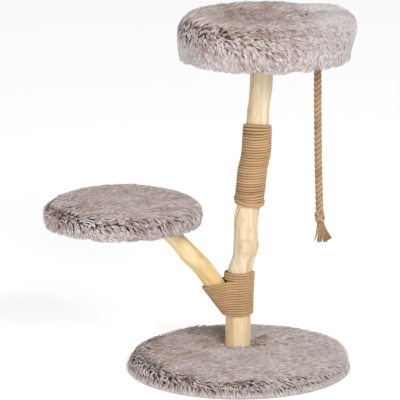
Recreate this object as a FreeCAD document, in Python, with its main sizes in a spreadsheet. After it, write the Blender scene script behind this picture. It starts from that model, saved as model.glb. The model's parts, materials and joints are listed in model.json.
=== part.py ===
"""Cat tree: a plush round foot, a natural pole with one side branch, a round plush platform on the
branch, a plush nest bed on top, two cord lashings and a hanging rope toy.

Frame: origin at the centre of the round foot's underside, +Z up, +X towards the rope toy's side,
the front is -Y. Millimetres. Every platform is modelled from its own board's underside, z = 0.
"""
import FreeCAD, Part
import math
import os
import Sketcher

V = FreeCAD.Vector
doc = FreeCAD.newDocument("cat_tree")
sheet = doc.addObject("Spreadsheet::Sheet", "sizes")


# ---------------------------------------------------------------- driving dimensions, mm

fit_gap = 0.3            # clearance round a bolt, a sleeve or a cover's wall
slit_gap = 1.5           # room round the pole in the foot's plush
board_lap = 30           # width of plush tucked under a board's edge

base_radius = 240        # foot board radius
base_thick = 18          # foot board thickness
base_hem = 3             # felt and tucked plush under the foot board
base_pile = 18           # plush over the foot board
base_side = 10.7         # plush round the foot board
base_brim = 13           # round of the foot's upper rim

trunk_radius = 28.5      # pole radius
joint_height = 164.7     # where the pole's two lengths meet
trunk_back = 55          # pole foot behind the foot's centre
trunk_drift_x = 53       # pole top to the right of its foot
trunk_drift_y = -30      # pole top in front of its foot
lashing_cord = 6         # lashing cord diameter
upper_wrap_height = 373  # upper lashing's lowest turn
upper_wrap_long = 189    # upper lashing's length
fork_wrap_height = 110   # fork lashing's lowest turn
fork_wrap_long = 78      # fork lashing's stretch round pole and branch
collar_wrap_long = 30    # fork lashing's stretch round the pole alone

branch_radius = 21       # side branch radius
branch_root = 112        # height where the branch's line meets the pole's
branch_slant = 1.3       # level width of the leaning branch over its own width

mid_x = -264             # platform centre, left of the foot's
mid_y = 10               # platform centre, behind the foot's
mid_height = 343         # platform board's underside
mid_radius = 168         # platform board radius
mid_thick = 15           # platform board thickness
mid_foam_thick = 16      # platform foam thickness
mid_pile = 17            # plush over the platform's foam
mid_side = 13.7          # plush round the platform
mid_brim = 18            # round of the platform's upper rim
seat_x = 79              # branch end from the platform's centre, towards the pole
seat_y = 4               # branch end from the platform's centre, to the back

top_height = 729         # bed board's underside
top_shift_x = 9.5        # bed centre to the right of the pole's top
top_shift_y = -7         # bed centre in front of the pole's top
top_radius = 187.7       # bed board radius
top_thick = 15           # bed board thickness
bolster_high = 62        # bed bolster height
bolster_wide = 80        # bed bolster width
bolster_round = 28       # round of the bolster's upper edges
pad_thick = 22           # bed centre pad thickness
top_pile = 17            # plush over the bed
top_side = 15            # plush round the bed
well_pile = 13.6         # plush on the hollow's wall
top_brim = 45            # round of the bed's outer rim
well_brim = 24           # round of the hollow's rim
cover_slack = 4          # a cover's hidden rounds, tighter than the shown ones
hem_thick = 4            # plush tucked under a raised board
cloth_thick = 2          # cloth under a raised board

bolt_radius = 4          # shank radius of the foot bolt and the top stud
bolt_head = 6.5          # foot bolt head radius
bolt_head_high = 5       # foot bolt head height
washer_radius = 12       # foot washer radius
washer_thick = 2         # foot washer thickness
insert_radius = 7        # threaded insert radius
insert_long = 25         # threaded insert length
stud_radius = 5          # pole joint stud radius
stud_long = 60           # pole joint stud length
top_stud_long = 45       # depth of the top stud in the pole
flange_radius = 11       # tee nut flange radius
flange_thick = 1.5       # tee nut flange thickness
barrel_radius = 5.2      # tee nut barrel radius
barrel_long = 9          # tee nut barrel length
screw_radius = 2.2       # wood screw shank radius
screw_head = 4.4         # wood screw head radius
screw_head_high = 3      # wood screw head height
screw_bite = 30          # depth of a wood screw in the pole or branch
base_screw_ring = 19     # locating screws from the pole's line
seat_screw_ring = 10     # platform screws from the branch end's centre
branch_screw_radius = 3  # branch screw radius
branch_screw_off = 12    # branch screws beside the pole's line
branch_screw_below = 16.7  # lower branch screw below the pole's joint
branch_screw_rise = 30   # upper branch screw above the lower
staple_wire = 1          # staple wire width
staple_wide = 10         # staple crown width
staple_leg = 10          # staple leg length
staple_count = 18        # staples round each board
tack_radius = 0.9        # lashing tack radius
tack_head = 3            # lashing tack head radius
tack_long = 16           # lashing tack length

rope_radius = 9          # toy rope radius
rope_out = 115           # toy rope from the bed's centre, to the right
rope_front = 8           # toy rope in front of the bed's centre
knot_radius = 14         # stopper knot radius
knot_high = 18           # stopper knot height
neck_radius = 6          # limp core of the rope at its bend
stem_radius = 2.5        # core between the bend and the rope's fixed end
whip_radius = 11.8       # whipping radius
whip_long = 24.5         # whipping length
tassel_long = 49         # frayed end length
tassel_radius = 19       # frayed end radius
tassel_lean = 9          # frayed end's lean to the right


# ---------------------------------------------------------------- the sheet

class Size:
    """A length that knows its value and the sheet expression that gives it."""

    def __init__(self, value, text):
        self.value = float(value)
        self.text = text

    def __add__(self, other):
        return joined(self, "+", other, self.value + number(other))

    def __radd__(self, other):
        return joined(other, "+", self, number(other) + self.value)

    def __sub__(self, other):
        return joined(self, "-", other, self.value - number(other))

    def __rsub__(self, other):
        return joined(other, "-", self, number(other) - self.value)

    def __mul__(self, other):
        return joined(self, "*", other, self.value * number(other))

    __rmul__ = __mul__

    def __truediv__(self, other):
        return joined(self, "/", other, self.value / number(other))

    def __neg__(self):
        return Size(-self.value, "(0 - %s)" % self.text)


def number(size):
    return size.value if isinstance(size, Size) else float(size)


def text(size):
    return size.text if isinstance(size, Size) else "%.6f" % size


def joined(left, sign, right, value):
    return Size(value, "(%s %s %s)" % (text(left), sign, text(right)))


# Each number above goes in the sheet, and from here on its name stands for its cell.
ALIASES = [name for name, value in list(globals().items()) if isinstance(value, (int, float))]
for row, alias in enumerate(ALIASES, 1):
    sheet.set("A%d" % row, alias.replace("_", " "))
    sheet.set("B%d" % row, str(globals()[alias]))
    sheet.setAlias("B%d" % row, alias)
    globals()[alias] = Size(globals()[alias], "sizes." + alias)
sheet.recompute()


# ---------------------------------------------------------------- how pieces are drawn

def bind(feature, path, size):
    """Give a property its value and, where it comes from the sheet, its expression."""
    if isinstance(size, Size):
        feature.setExpression(path, size.text)


def place(feature, x=0.0, y=0.0, z=0.0, rotation=FreeCAD.Rotation()):
    """Put a feature at a point that follows the sheet."""
    feature.Placement = FreeCAD.Placement(V(number(x), number(y), number(z)), rotation)
    bind(feature, "Placement.Base.x", x)
    bind(feature, "Placement.Base.y", y)
    bind(feature, "Placement.Base.z", z)
    return feature


def origin_plane(body, role):
    return [feature for feature in body.Origin.OriginFeatures if feature.Role == role][0]


def new_body(name):
    body = doc.addObject("PartDesign::Body", name)
    body.AllowCompound = True
    return body


def sketch_on(body, role):
    sketch = body.newObject("Sketcher::SketchObject", body.Name + "_sketch")
    sketch.AttachmentSupport = [(origin_plane(body, role), "")]
    sketch.MapMode = "FlatFace"
    return sketch


def hold_point(sketch, geometry, point, x, y):
    """Hold one sketch point at (x, y) from the sketch's origin."""
    for kind, size, axis in (("DistanceX", x, -2), ("DistanceY", y, -1)):
        if number(size) == 0:
            sketch.addConstraint(Sketcher.Constraint("PointOnObject", geometry, point, axis))
            continue
        rule = Sketcher.Constraint(kind, -1, 1, geometry, point, number(size))
        bind(sketch, "Constraints[%d]" % sketch.addConstraint(rule), size)


def hold_radius(sketch, geometry, radius):
    rule = Sketcher.Constraint("Radius", geometry, number(radius))
    bind(sketch, "Constraints[%d]" % sketch.addConstraint(rule), radius)


def draw_outline(sketch, corners):
    """A closed outline of straight lines through the corners."""
    spots = [V(number(x), number(y), 0) for x, y in corners]
    count = len(spots)
    for i in range(count):
        sketch.addGeometry(Part.LineSegment(spots[i], spots[(i + 1) % count]))
    for i in range(count):
        sketch.addConstraint(Sketcher.Constraint("Coincident", i, 2, (i + 1) % count, 1))
    for i, (x, y) in enumerate(corners):
        hold_point(sketch, i, 1, x, y)


def turned(name, corners, rounds=()):
    """A body turned about its own Z axis; corners are (radius, height)."""
    body = new_body(name)
    sketch = sketch_on(body, "XZ_Plane")
    draw_outline(sketch, corners)
    turn = body.newObject("PartDesign::Revolution", name + "_turn")
    turn.Profile = sketch
    turn.ReferenceAxis = (sketch, ["V_Axis"])
    turn.Angle = 360
    doc.recompute()
    for radius, height, size in rounds:
        round_rim(body, radius, height, size)
    return body


def round_rim(body, radius, height, size):
    """Round the circular edge that has this radius and height."""
    base = body.Tip
    names = []
    for i, edge in enumerate(base.Shape.Edges):
        if not isinstance(edge.Curve, Part.Circle):
            continue
        same_radius = abs(edge.Curve.Radius - number(radius)) < 0.01
        if same_radius and abs(edge.Curve.Center.z - number(height)) < 0.01:
            names.append("Edge%d" % (i + 1))
    fillet = body.newObject("PartDesign::Fillet", body.Name + "_round")
    fillet.Base = (base, names)
    fillet.Radius = number(size)
    bind(fillet, "Radius", size)
    doc.recompute()


def drilled(body, x, y, radius, depth=None):
    """Cut a round hole along Z: right through, or upwards from z = 0 to a depth."""
    sketch = sketch_on(body, "XY_Plane")
    sketch.addGeometry(Part.Circle(V(number(x), number(y), 0), V(0, 0, 1), number(radius)))
    hold_point(sketch, 0, 3, x, y)
    hold_radius(sketch, 0, radius)
    pocket = body.newObject("PartDesign::Pocket", body.Name + "_hole")
    pocket.Profile = sketch
    if depth is None:
        pocket.Type = "ThroughAll"
        pocket.SideType = "Symmetric"
    else:
        pocket.Reversed = True
        pocket.Length = number(depth)
        bind(pocket, "Length", depth)
    doc.recompute()


def disc(name, radius, low, high, rounds=()):
    """A solid disc between two heights."""
    return turned(name, [(0, low), (radius, low), (radius, high), (0, high)], rounds)


def primitive(kind, name, sizes):
    """A Part primitive whose named properties follow the sheet."""
    feature = doc.addObject("Part::" + kind, name)
    for prop, size in sizes.items():
        setattr(feature, prop, number(size))
        bind(feature, prop, size)
    return feature


def boolean(kind, name, base, tool):
    """A Part boolean of two features; kind is Cut or Fuse."""
    feature = doc.addObject("Part::" + kind, name)
    feature.Base = base
    feature.Tool = tool
    return feature


def joined_solid(name, pieces):
    """Several features fused into one."""
    feature = doc.addObject("Part::MultiFuse", name)
    feature.Shapes = pieces
    return feature


def group(name, pieces):
    """Several separate solids kept as one node."""
    feature = doc.addObject("Part::Compound", name)
    feature.Links = pieces
    return feature


def skin(name, sections):
    """A solid through level sections, straight from each one to the next."""
    feature = doc.addObject("Part::Loft", name)
    feature.Sections = sections
    feature.Solid = True
    feature.Ruled = True
    return feature


def peg(name, radius, long, x, y, z, rotation=FreeCAD.Rotation()):
    """A round bar that starts at a point and runs along its own Z."""
    return place(primitive("Cylinder", name, {"Radius": radius, "Height": long}), x, y, z, rotation)


# ---------------------------------------------------------------- the pole's and the branch's lines

pole_foot = base_hem + base_thick
pole_high = top_height - pole_foot

# (share of the pole's height, share of its drift in X, radius over the pole's own)
POLE = [(0.0, 0.0, 1.05), (0.106, 0.005, 1.02), (0.203, 0.03, 1.02), (0.283, 0.085, 1.01),
        (0.324, 0.256, 0.94), (0.351, 0.341, 1.01), (0.42, 0.316, 0.97), (0.459, 0.336, 1.0),
        (0.499, 0.45, 0.95), (0.553, 0.525, 0.99), (0.62, 0.607, 0.99), (0.66, 0.73, 0.98),
        (0.686, 0.775, 0.99), (0.753, 0.8, 0.96), (0.785, 0.82, 0.89), (0.832, 0.873, 0.85),
        (0.885, 0.955, 0.92), (1.0, 1.0, 0.9)]

# (share of the branch's rise, share of its reach in X, radius over the branch's own)
BRANCH = [(0.0, 0.0, 0.95), (0.162, 0.145, 1.0), (0.295, 0.26, 1.0), (0.397, 0.352, 1.0),
          (0.483, 0.42, 0.98), (0.526, 0.47, 1.02), (0.568, 0.519, 1.22), (0.611, 0.568, 1.15),
          (0.654, 0.605, 1.05), (0.697, 0.648, 1.02), (0.778, 0.74, 0.98), (1.0, 1.0, 1.0)]


def pole_at(share):
    """The pole's (x, y, z, radius) at a share of its height."""
    for low, high in zip(POLE, POLE[1:]):
        if number(share) <= high[0] or high is POLE[-1]:
            step = (share - low[0]) / (high[0] - low[0])
            drift = step * (high[1] - low[1]) + low[1]
            girth = step * (high[2] - low[2]) + low[2]
            break
    x = trunk_drift_x * drift
    y = trunk_back + trunk_drift_y * share
    return x, y, pole_foot + pole_high * share, trunk_radius * girth


def share_of(height):
    return (height - pole_foot) / pole_high


def level_round(height):
    """The pole's (x, y, radius) at a height."""
    x, y, _, radius = pole_at(share_of(height))
    return x, y, radius


def pole_stations(start, end):
    """Shares of the pole's height from start to end, with every station between them."""
    between = [row[0] for row in POLE
               if number(start) + 0.0005 < row[0] < number(end) - 0.0005]
    return [start] + between + [end]


def pole_solid(name, start, end, extra=0.0):
    """The pole between two shares of its height, grown by extra."""
    sections = []
    for i, share in enumerate(pole_stations(start, end)):
        x, y, z, radius = pole_at(share)
        circle = primitive("Circle", "%s_ring%d" % (name, i), {"Radius": radius + extra})
        sections.append(place(circle, x, y, z))
    return skin(name, sections)


root_x, root_y = pole_at(share_of(branch_root))[:2]
reach_x = mid_x + seat_x - root_x
reach_y = mid_y + seat_y - root_y
branch_rise = mid_height - branch_root


def branch_row(row):
    rise, reach, girth = row
    x = root_x + reach_x * reach
    y = root_y + reach_y * rise
    return x, y, branch_root + branch_rise * rise, branch_radius * girth


def branch_at(height):
    """The branch's (x, y, radius) at a height."""
    share = (height - branch_root) / branch_rise
    for low, high in zip(BRANCH, BRANCH[1:]):
        if number(share) <= high[0] or high is BRANCH[-1]:
            step = (share - low[0]) / (high[0] - low[0])
            break
    x = root_x + reach_x * (step * (high[1] - low[1]) + low[1])
    y = root_y + reach_y * share
    return x, y, branch_radius * (step * (high[2] - low[2]) + low[2])


def branch_solid(name, extra=0.0):
    """The whole branch, from inside the pole to the platform board, grown by extra."""
    sections = []
    for i, row in enumerate(BRANCH):
        x, y, z, radius = branch_row(row)
        sizes = {"MajorRadius": radius * branch_slant + extra * branch_slant,
                 "MinorRadius": radius + extra}
        sections.append(place(primitive("Ellipse", "%s_ring%d" % (name, i), sizes), x, y, z))
    return skin(name, sections)


# ---------------------------------------------------------------- plush foot

base_top = base_hem + base_thick

base_board = disc("base_board", base_radius, 0, base_thick)
drilled(base_board, 0, trunk_back, bolt_radius + fit_gap)
recess_deep = bolt_head_high + washer_thick + fit_gap
drilled(base_board, 0, trunk_back, washer_radius + fit_gap, recess_deep)
place(base_board, z=base_hem)

base_outer = base_radius + fit_gap + base_side
base_cover_top = base_thick + base_pile
base_plush_cover = turned("base_plush_cover", [
    (0, base_thick), (base_radius + fit_gap, base_thick), (base_radius + fit_gap, 0),
    (base_radius - board_lap, 0), (base_radius - board_lap, -base_hem), (base_outer, -base_hem),
    (base_outer, base_cover_top), (0, base_cover_top)],
    [(base_outer, base_cover_top, base_brim)])
drilled(base_plush_cover, 0, trunk_back, trunk_radius * POLE[0][2] + slit_gap)
place(base_plush_cover, z=base_hem)

base_underfelt = disc("base_underfelt", base_radius - board_lap - fit_gap, 0, base_hem)
drilled(base_underfelt, 0, trunk_back, washer_radius + 4 * fit_gap)


def staples(name, board_radius, hem, x, y, z):
    """A ring of staples that pin the tucked plush to a board's underside."""
    body = new_body(name)
    sketch = sketch_on(body, "XZ_Plane")
    middle = board_radius - board_lap / 2
    inner = middle - staple_wide / 2
    outer = middle + staple_wide / 2
    low = staple_wire - hem
    bend = low + staple_wire
    tip = low + staple_leg
    draw_outline(sketch, [
        (inner, low), (outer, low), (outer, tip), (outer - staple_wire, tip),
        (outer - staple_wire, bend), (inner + staple_wire, bend), (inner + staple_wire, tip),
        (inner, tip)])
    pad = body.newObject("PartDesign::Pad", name + "_wire")
    pad.Profile = sketch
    pad.Midplane = True
    pad.Length = number(staple_wire)
    bind(pad, "Length", staple_wire)
    doc.recompute()
    ring = body.newObject("PartDesign::PolarPattern", name + "_ring")
    ring.Originals = [pad]
    ring.Axis = (origin_plane(body, "Z_Axis"), [""])
    ring.Angle = 360
    ring.Occurrences = int(number(staple_count))
    bind(ring, "Occurrences", staple_count)
    body.Tip = ring
    place(body, x, y, z)
    return body


base_staples = staples("base_staples", base_radius, base_hem, 0, 0, base_hem)

base_washer = turned("base_washer", [
    (bolt_radius + fit_gap, 0), (washer_radius, 0), (washer_radius, washer_thick),
    (bolt_radius + fit_gap, washer_thick)])
place(base_washer, 0, trunk_back, base_hem + recess_deep - washer_thick)

bolt_reach = base_thick - recess_deep + insert_long + washer_thick
base_bolt = turned("base_bolt", [
    (0, -bolt_head_high), (bolt_head, -bolt_head_high), (bolt_head, 0), (bolt_radius, 0),
    (bolt_radius, bolt_reach), (0, bolt_reach)])
place(base_bolt, 0, trunk_back, base_hem + recess_deep - washer_thick)

base_insert = turned("base_insert", [
    (bolt_radius, 0), (insert_radius, 0), (insert_radius, insert_long), (bolt_radius, insert_long)])
place(base_insert, 0, trunk_back, base_top)


def screw_ring(name, count, ring_radius, through, x, y, z, points_up):
    """Wood screws on a ring: a head, then a shank through a board and into the wood beyond."""
    body = new_body(name)
    sketch = sketch_on(body, "XZ_Plane")
    long = through + screw_bite
    axis_mark = 10.0
    drawn = [(ring_radius, 0), (ring_radius + screw_head, 0), (ring_radius + screw_radius, screw_head_high),
             (ring_radius + screw_radius, long), (ring_radius, long + screw_radius)]
    if not points_up:
        drawn = [(r, -height if number(height) else 0) for r, height in drawn]
    draw_outline(sketch, drawn)
    centre = number(ring_radius)
    axis = sketch.addGeometry(Part.LineSegment(V(centre, 0, 0), V(centre, axis_mark, 0)), True)
    hold_point(sketch, axis, 1, ring_radius, 0)
    hold_point(sketch, axis, 2, ring_radius, axis_mark)
    turn = body.newObject("PartDesign::Revolution", name + "_screw")
    turn.Profile = sketch
    turn.ReferenceAxis = (sketch, ["Axis0"])
    turn.Angle = 360
    doc.recompute()
    ring = body.newObject("PartDesign::PolarPattern", name + "_ring")
    ring.Originals = [turn]
    ring.Axis = (origin_plane(body, "Z_Axis"), [""])
    ring.Angle = 360
    ring.Occurrences = count
    body.Tip = ring
    place(body, x, y, z)
    return body


base_screws = screw_ring("base_screws", 2, base_screw_ring, base_thick, 0, trunk_back, base_hem, True)


# ---------------------------------------------------------------- the pole in two lengths

joint_share = share_of(joint_height)
joint_x, joint_y, joint_z = pole_at(joint_share)[:3]
crown_x, crown_y, crown_z, crown_girth = pole_at(Size(1, "1"))

lower_blank = pole_solid("lower_blank", Size(0, "0"), joint_share)
lower_bores = joined_solid("lower_bores", [
    peg("insert_bore", insert_radius + fit_gap, insert_long + fit_gap, 0, trunk_back, base_top),
    peg("bolt_bore", bolt_radius + fit_gap, insert_long + 2 * washer_thick, 0, trunk_back, base_top),
    peg("stud_bore_low", stud_radius + fit_gap, stud_long, joint_x, joint_y,
        joint_z - stud_long / 2 - fit_gap)])
lower_trunk = boolean("Cut", "lower_trunk", lower_blank, lower_bores)

upper_blank = pole_solid("upper_blank", joint_share, Size(1, "1"))
upper_bores = joined_solid("upper_bores", [
    peg("stud_bore_high", stud_radius + fit_gap, stud_long / 2 + fit_gap, joint_x, joint_y, joint_z),
    peg("top_stud_bore", bolt_radius + fit_gap, top_stud_long + fit_gap, crown_x, crown_y,
        crown_z - top_stud_long - fit_gap)])
upper_trunk = boolean("Cut", "upper_trunk", upper_blank, upper_bores)

trunk_stud = peg("trunk_stud", stud_radius, stud_long, joint_x, joint_y, joint_z - stud_long / 2)


# ---------------------------------------------------------------- side branch

branch_foot_cut = pole_solid("branch_foot_cut", Size(0, "0"), share_of(mid_height), fit_gap)
side_branch = boolean("Cut", "side_branch", branch_solid("branch_blank"), branch_foot_cut)


def branch_screw(index, height, off):
    """A long screw through the pole, level, into the branch's foot."""
    pole_x, pole_y, girth = level_round(height)
    tip_x, tip_girth = branch_at(height)[::2]
    start = pole_x + girth * 0.85
    name = "branch_screw%d" % index
    west = FreeCAD.Rotation(V(0, 1, 0), -90)
    shank = peg(name + "_shank", branch_screw_radius, start - tip_x + tip_girth / 2, start,
                pole_y + off, height, west)
    head = peg(name + "_head", branch_screw_radius * 2, branch_screw_radius, start, pole_y + off,
               height, west)
    return boolean("Fuse", name, shank, head)


branch_screw_height = joint_height - branch_screw_below
branch_screws = group("branch_screws", [
    branch_screw(1, branch_screw_height, -branch_screw_off),
    branch_screw(2, branch_screw_height + branch_screw_rise, branch_screw_off)])


# ---------------------------------------------------------------- lashings

def hull_section(name, height, first, second):
    """The level outline of a cord pulled tight round two round bars, each (x, y, radius)."""
    sketch = doc.addObject("Sketcher::SketchObject", name)
    (ax, ay, ar), (bx, by, br) = [[number(size) for size in bar] for bar in (first, second)]
    centres = [V(ax, ay, 0), V(bx, by, 0)]
    run = centres[1] - centres[0]
    lean = math.acos((ar - br) / run.Length)
    heading = math.atan2(run.y, run.x)
    up = heading + lean
    down = heading - lean
    turn = 2 * math.pi
    sketch.addGeometry(Part.ArcOfCircle(Part.Circle(centres[0], V(0, 0, 1), ar), up, down + turn))
    sketch.addGeometry(Part.ArcOfCircle(Part.Circle(centres[1], V(0, 0, 1), br), down, up))
    spots = [centres[i] + V(math.cos(a), math.sin(a), 0) * r
             for i, a, r in ((0, up, ar), (0, down, ar), (1, down, br), (1, up, br))]
    sketch.addGeometry(Part.LineSegment(spots[1], spots[2]))
    sketch.addGeometry(Part.LineSegment(spots[3], spots[0]))
    for left, left_end, right, right_end in ((0, 2, 2, 1), (2, 2, 1, 1), (1, 2, 3, 1), (3, 2, 0, 1)):
        sketch.addConstraint(Sketcher.Constraint("Tangent", left, left_end, right, right_end))
    for index, (x, y, radius) in enumerate((first, second)):
        hold_point(sketch, index, 3, x, y)
        hold_radius(sketch, index, radius)
    return place(sketch, z=height)


fork_top = fork_wrap_height + fork_wrap_long
wrap = lashing_cord


def fork_section(name, height, reach):
    """Cord round the pole and a round as deep as the branch, whose far side is at x = reach."""
    far_y = branch_at(height)[1]
    near = branch_radius + wrap
    pole_x, pole_y, girth = level_round(height)
    return hull_section(name, height, (pole_x, pole_y, girth + wrap), (reach + near, far_y, near))


low_x, low_girth = level_round(fork_wrap_height)[::2]
high_x, high_girth = branch_at(fork_top)[::2]
low_reach = low_x - low_girth - wrap - fit_gap * 6
high_reach = high_x - (high_girth + wrap) * branch_slant
fork_blank = skin("fork_blank", [
    fork_section("fork_low", fork_wrap_height, low_reach),
    fork_section("fork_high", fork_top, high_reach)])
collar_blank = pole_solid("collar_blank", share_of(fork_top),
                          share_of(fork_top + collar_wrap_long), wrap)
lower_lashing = boolean("Cut", "lower_lashing",
                        boolean("Cut", "lashing_on_branch",
                                boolean("Fuse", "lashing_blank", fork_blank, collar_blank),
                                branch_solid("branch_room", fit_gap)),
                        pole_solid("fork_room", share_of(fork_wrap_height - wrap),
                                   share_of(fork_top + collar_wrap_long + wrap), fit_gap))

upper_wrap_high = upper_wrap_height + upper_wrap_long
upper_lashing = boolean("Cut", "upper_lashing",
                        pole_solid("wrap_blank", share_of(upper_wrap_height),
                                   share_of(upper_wrap_high), wrap),
                        pole_solid("wrap_room", share_of(upper_wrap_height - wrap),
                                   share_of(upper_wrap_high + wrap), fit_gap))


def tack(index, height):
    """A tack driven into the pole's back through a lashing's end turn."""
    pole_x, pole_y, girth = level_round(height)
    start = pole_y + girth + wrap
    name = "tack%d" % index
    forward = FreeCAD.Rotation(V(1, 0, 0), 90)
    shank = peg(name + "_shank", tack_radius, tack_long, pole_x, start, height, forward)
    head = peg(name + "_head", tack_head, tack_radius, pole_x, start + tack_radius / 2, height,
               forward)
    return boolean("Fuse", name, shank, head)


lashing_tacks = group("lashing_tacks", [
    tack(i, height) for i, height in enumerate([
        fork_wrap_height + wrap, fork_top + collar_wrap_long - wrap, upper_wrap_height + wrap,
        upper_wrap_high - wrap])])


# ---------------------------------------------------------------- platform on the branch

mid_top = mid_thick + mid_foam_thick

mid_board = disc("mid_board", mid_radius, 0, mid_thick)
place(mid_board, mid_x, mid_y, mid_height)

mid_foam = disc("mid_foam", mid_radius, mid_thick, mid_top)
place(mid_foam, mid_x, mid_y, mid_height)

mid_outer = mid_radius + fit_gap + mid_side
mid_plush_cover = turned("mid_plush_cover", [
    (0, mid_top), (mid_radius + fit_gap, mid_top), (mid_radius + fit_gap, 0),
    (mid_radius - board_lap, 0), (mid_radius - board_lap, -hem_thick), (mid_outer, -hem_thick),
    (mid_outer, mid_top + mid_pile), (0, mid_top + mid_pile)],
    [(mid_outer, mid_top + mid_pile, mid_brim)])
place(mid_plush_cover, mid_x, mid_y, mid_height)

mid_undercloth = disc("mid_undercloth", mid_radius - board_lap - fit_gap, -cloth_thick, 0)
drilled(mid_undercloth, seat_x, seat_y, branch_radius * branch_slant + cloth_thick)
place(mid_undercloth, mid_x, mid_y, mid_height)

mid_staples = staples("mid_staples", mid_radius, hem_thick, mid_x, mid_y, mid_height)
mid_screws = screw_ring("mid_screws", 3, seat_screw_ring, mid_thick, mid_x + seat_x + seat_screw_ring,
                        mid_y + seat_y, mid_height + mid_thick, False)


# ---------------------------------------------------------------- nest bed on the pole

top_x = crown_x + top_shift_x
top_y = crown_y + top_shift_y

top_board = disc("top_board", top_radius, 0, top_thick)
drilled(top_board, -top_shift_x, -top_shift_y, barrel_radius + fit_gap)
drilled(top_board, rope_out, -rope_front, rope_radius + fit_gap)
place(top_board, top_x, top_y, top_height)

top_tee_nut = turned("top_tee_nut", [
    (bolt_radius + fit_gap / 10, top_thick - barrel_long), (barrel_radius, top_thick - barrel_long),
    (barrel_radius, top_thick), (flange_radius, top_thick), (flange_radius, top_thick + flange_thick),
    (bolt_radius + fit_gap / 10, top_thick + flange_thick)])
place(top_tee_nut, crown_x, crown_y, top_height)

top_stud = peg("top_stud", bolt_radius, top_stud_long + top_thick + flange_thick, crown_x, crown_y,
               crown_z - top_stud_long)

bolster_outer = top_radius
bolster_inner = top_radius - bolster_wide
bolster_top = top_thick + bolster_high
top_bolster = turned("top_bolster", [
    (bolster_inner, top_thick), (bolster_outer, top_thick), (bolster_outer, bolster_top),
    (bolster_inner, bolster_top)],
    [(bolster_outer, bolster_top, bolster_round), (bolster_inner, bolster_top, bolster_round)])
drilled(top_bolster, rope_out, -rope_front, knot_radius + 4 * fit_gap,
        top_thick + knot_high + 4 * fit_gap)
place(top_bolster, top_x, top_y, top_height)

pad_radius = bolster_inner - 5 * fit_gap
pad_top = top_thick + pad_thick
top_pad = disc("top_pad", pad_radius, top_thick, pad_top)
drilled(top_pad, -top_shift_x, -top_shift_y, flange_radius + fit_gap, top_thick + 2 * flange_thick)
drilled(top_pad, rope_out, -rope_front, knot_radius + 4 * fit_gap)
place(top_pad, top_x, top_y, top_height)

top_outer = top_radius + fit_gap + top_side
top_crest = bolster_top + fit_gap + top_pile
well_radius = bolster_inner - fit_gap - well_pile
well_floor = pad_top + top_pile
top_plush_cover = turned("top_plush_cover", [
    (0, pad_top), (bolster_inner - fit_gap, pad_top), (bolster_inner - fit_gap, bolster_top + fit_gap),
    (top_radius + fit_gap, bolster_top + fit_gap), (top_radius + fit_gap, 0),
    (top_radius - board_lap, 0), (top_radius - board_lap, -hem_thick), (top_outer, -hem_thick),
    (top_outer, top_crest), (well_radius, top_crest), (well_radius, well_floor), (0, well_floor)],
    [(top_radius + fit_gap, bolster_top + fit_gap, bolster_round - cover_slack),
     (bolster_inner - fit_gap, bolster_top + fit_gap, bolster_round / 2),
     (top_outer, top_crest, top_brim), (well_radius, top_crest, well_brim),
     (well_radius, well_floor, well_brim - cover_slack)])
place(top_plush_cover, top_x, top_y, top_height)

top_undercloth = disc("top_undercloth", top_radius - board_lap - fit_gap, -cloth_thick, 0)
drilled(top_undercloth, -top_shift_x, -top_shift_y, crown_girth + 4 * fit_gap)
drilled(top_undercloth, rope_out, -rope_front, rope_radius + fit_gap)
place(top_undercloth, top_x, top_y, top_height)

top_staples = staples("top_staples", top_radius, hem_thick, top_x, top_y, top_height)


# ---------------------------------------------------------------- rope toy

rope_x = top_x + rope_out
rope_y = top_y - rope_front

knot_top = top_thick + knot_high
toy_rope_anchor = turned("toy_rope_anchor", [
    (0, -cloth_thick), (rope_radius, -cloth_thick), (rope_radius, top_thick),
    (knot_radius, top_thick), (knot_radius, knot_top), (0, knot_top)],
    [(knot_radius, knot_top, knot_radius / 2)])
place(toy_rope_anchor, rope_x, rope_y, top_height)

pivot_z = top_height - cloth_thick - rope_radius - fit_gap
toy_rope_neck = boolean("Fuse", "toy_rope_neck",
                        place(primitive("Sphere", "neck_ball", {"Radius": neck_radius}),
                              rope_x, rope_y, pivot_z),
                        peg("neck_stem", stem_radius, rope_radius, rope_x, rope_y, pivot_z))

# The rope's route below its bend, from the bend: (x, y, down). It hangs almost straight.
ROPE_ROUTE = [(0.0, 0.0, 0.0), (1.2, 0.8, 124.0), (3.6, -0.6, 250.0), (8.0, 0.3, 375.7)]


def rope_path(points):
    """Straight runs joined by tangent arcs, each as large as its two runs allow."""
    edges = []
    last = points[0]
    radii = []
    for before, corner, after in zip(points, points[1:], points[2:]):
        inward = corner - before
        outward = after - corner
        turn = inward.getAngle(outward)
        back = 0.45 * min(inward.Length, outward.Length)
        radii.append(back / math.tan(turn / 2))
        start = corner - V(inward).normalize() * back
        end = corner + V(outward).normalize() * back
        bisector = (V(outward).normalize() - V(inward).normalize()).normalize()
        centre = corner + bisector * (radii[-1] / math.cos(turn / 2))
        middle = centre - bisector * radii[-1]
        edges.append(Part.LineSegment(last, start).toShape())
        edges.append(Part.Arc(start, middle, end).toShape())
        last = end
    edges.append(Part.LineSegment(last, points[-1]).toShape())
    print("rope bend radii, mm:", [round(radius) for radius in radii])
    return Part.Wire(edges)


pivot = V(number(rope_x), number(rope_y), number(pivot_z))
route = [pivot + V(x, y, -down) for x, y, down in ROPE_ROUTE]
path = rope_path(route)
across = Part.Wire(Part.Circle(pivot, route[1] - pivot, number(rope_radius)).toShape())
tube = path.makePipeShell([across], True, False)
print("rope volume over section times length: %.4f" % (
    tube.Volume / (math.pi * number(rope_radius) ** 2 * path.Length)))
toy_rope = doc.addObject("Part::Feature", "toy_rope")
toy_rope.Shape = tube.cut(Part.makeSphere(number(neck_radius + fit_gap), pivot))

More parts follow.
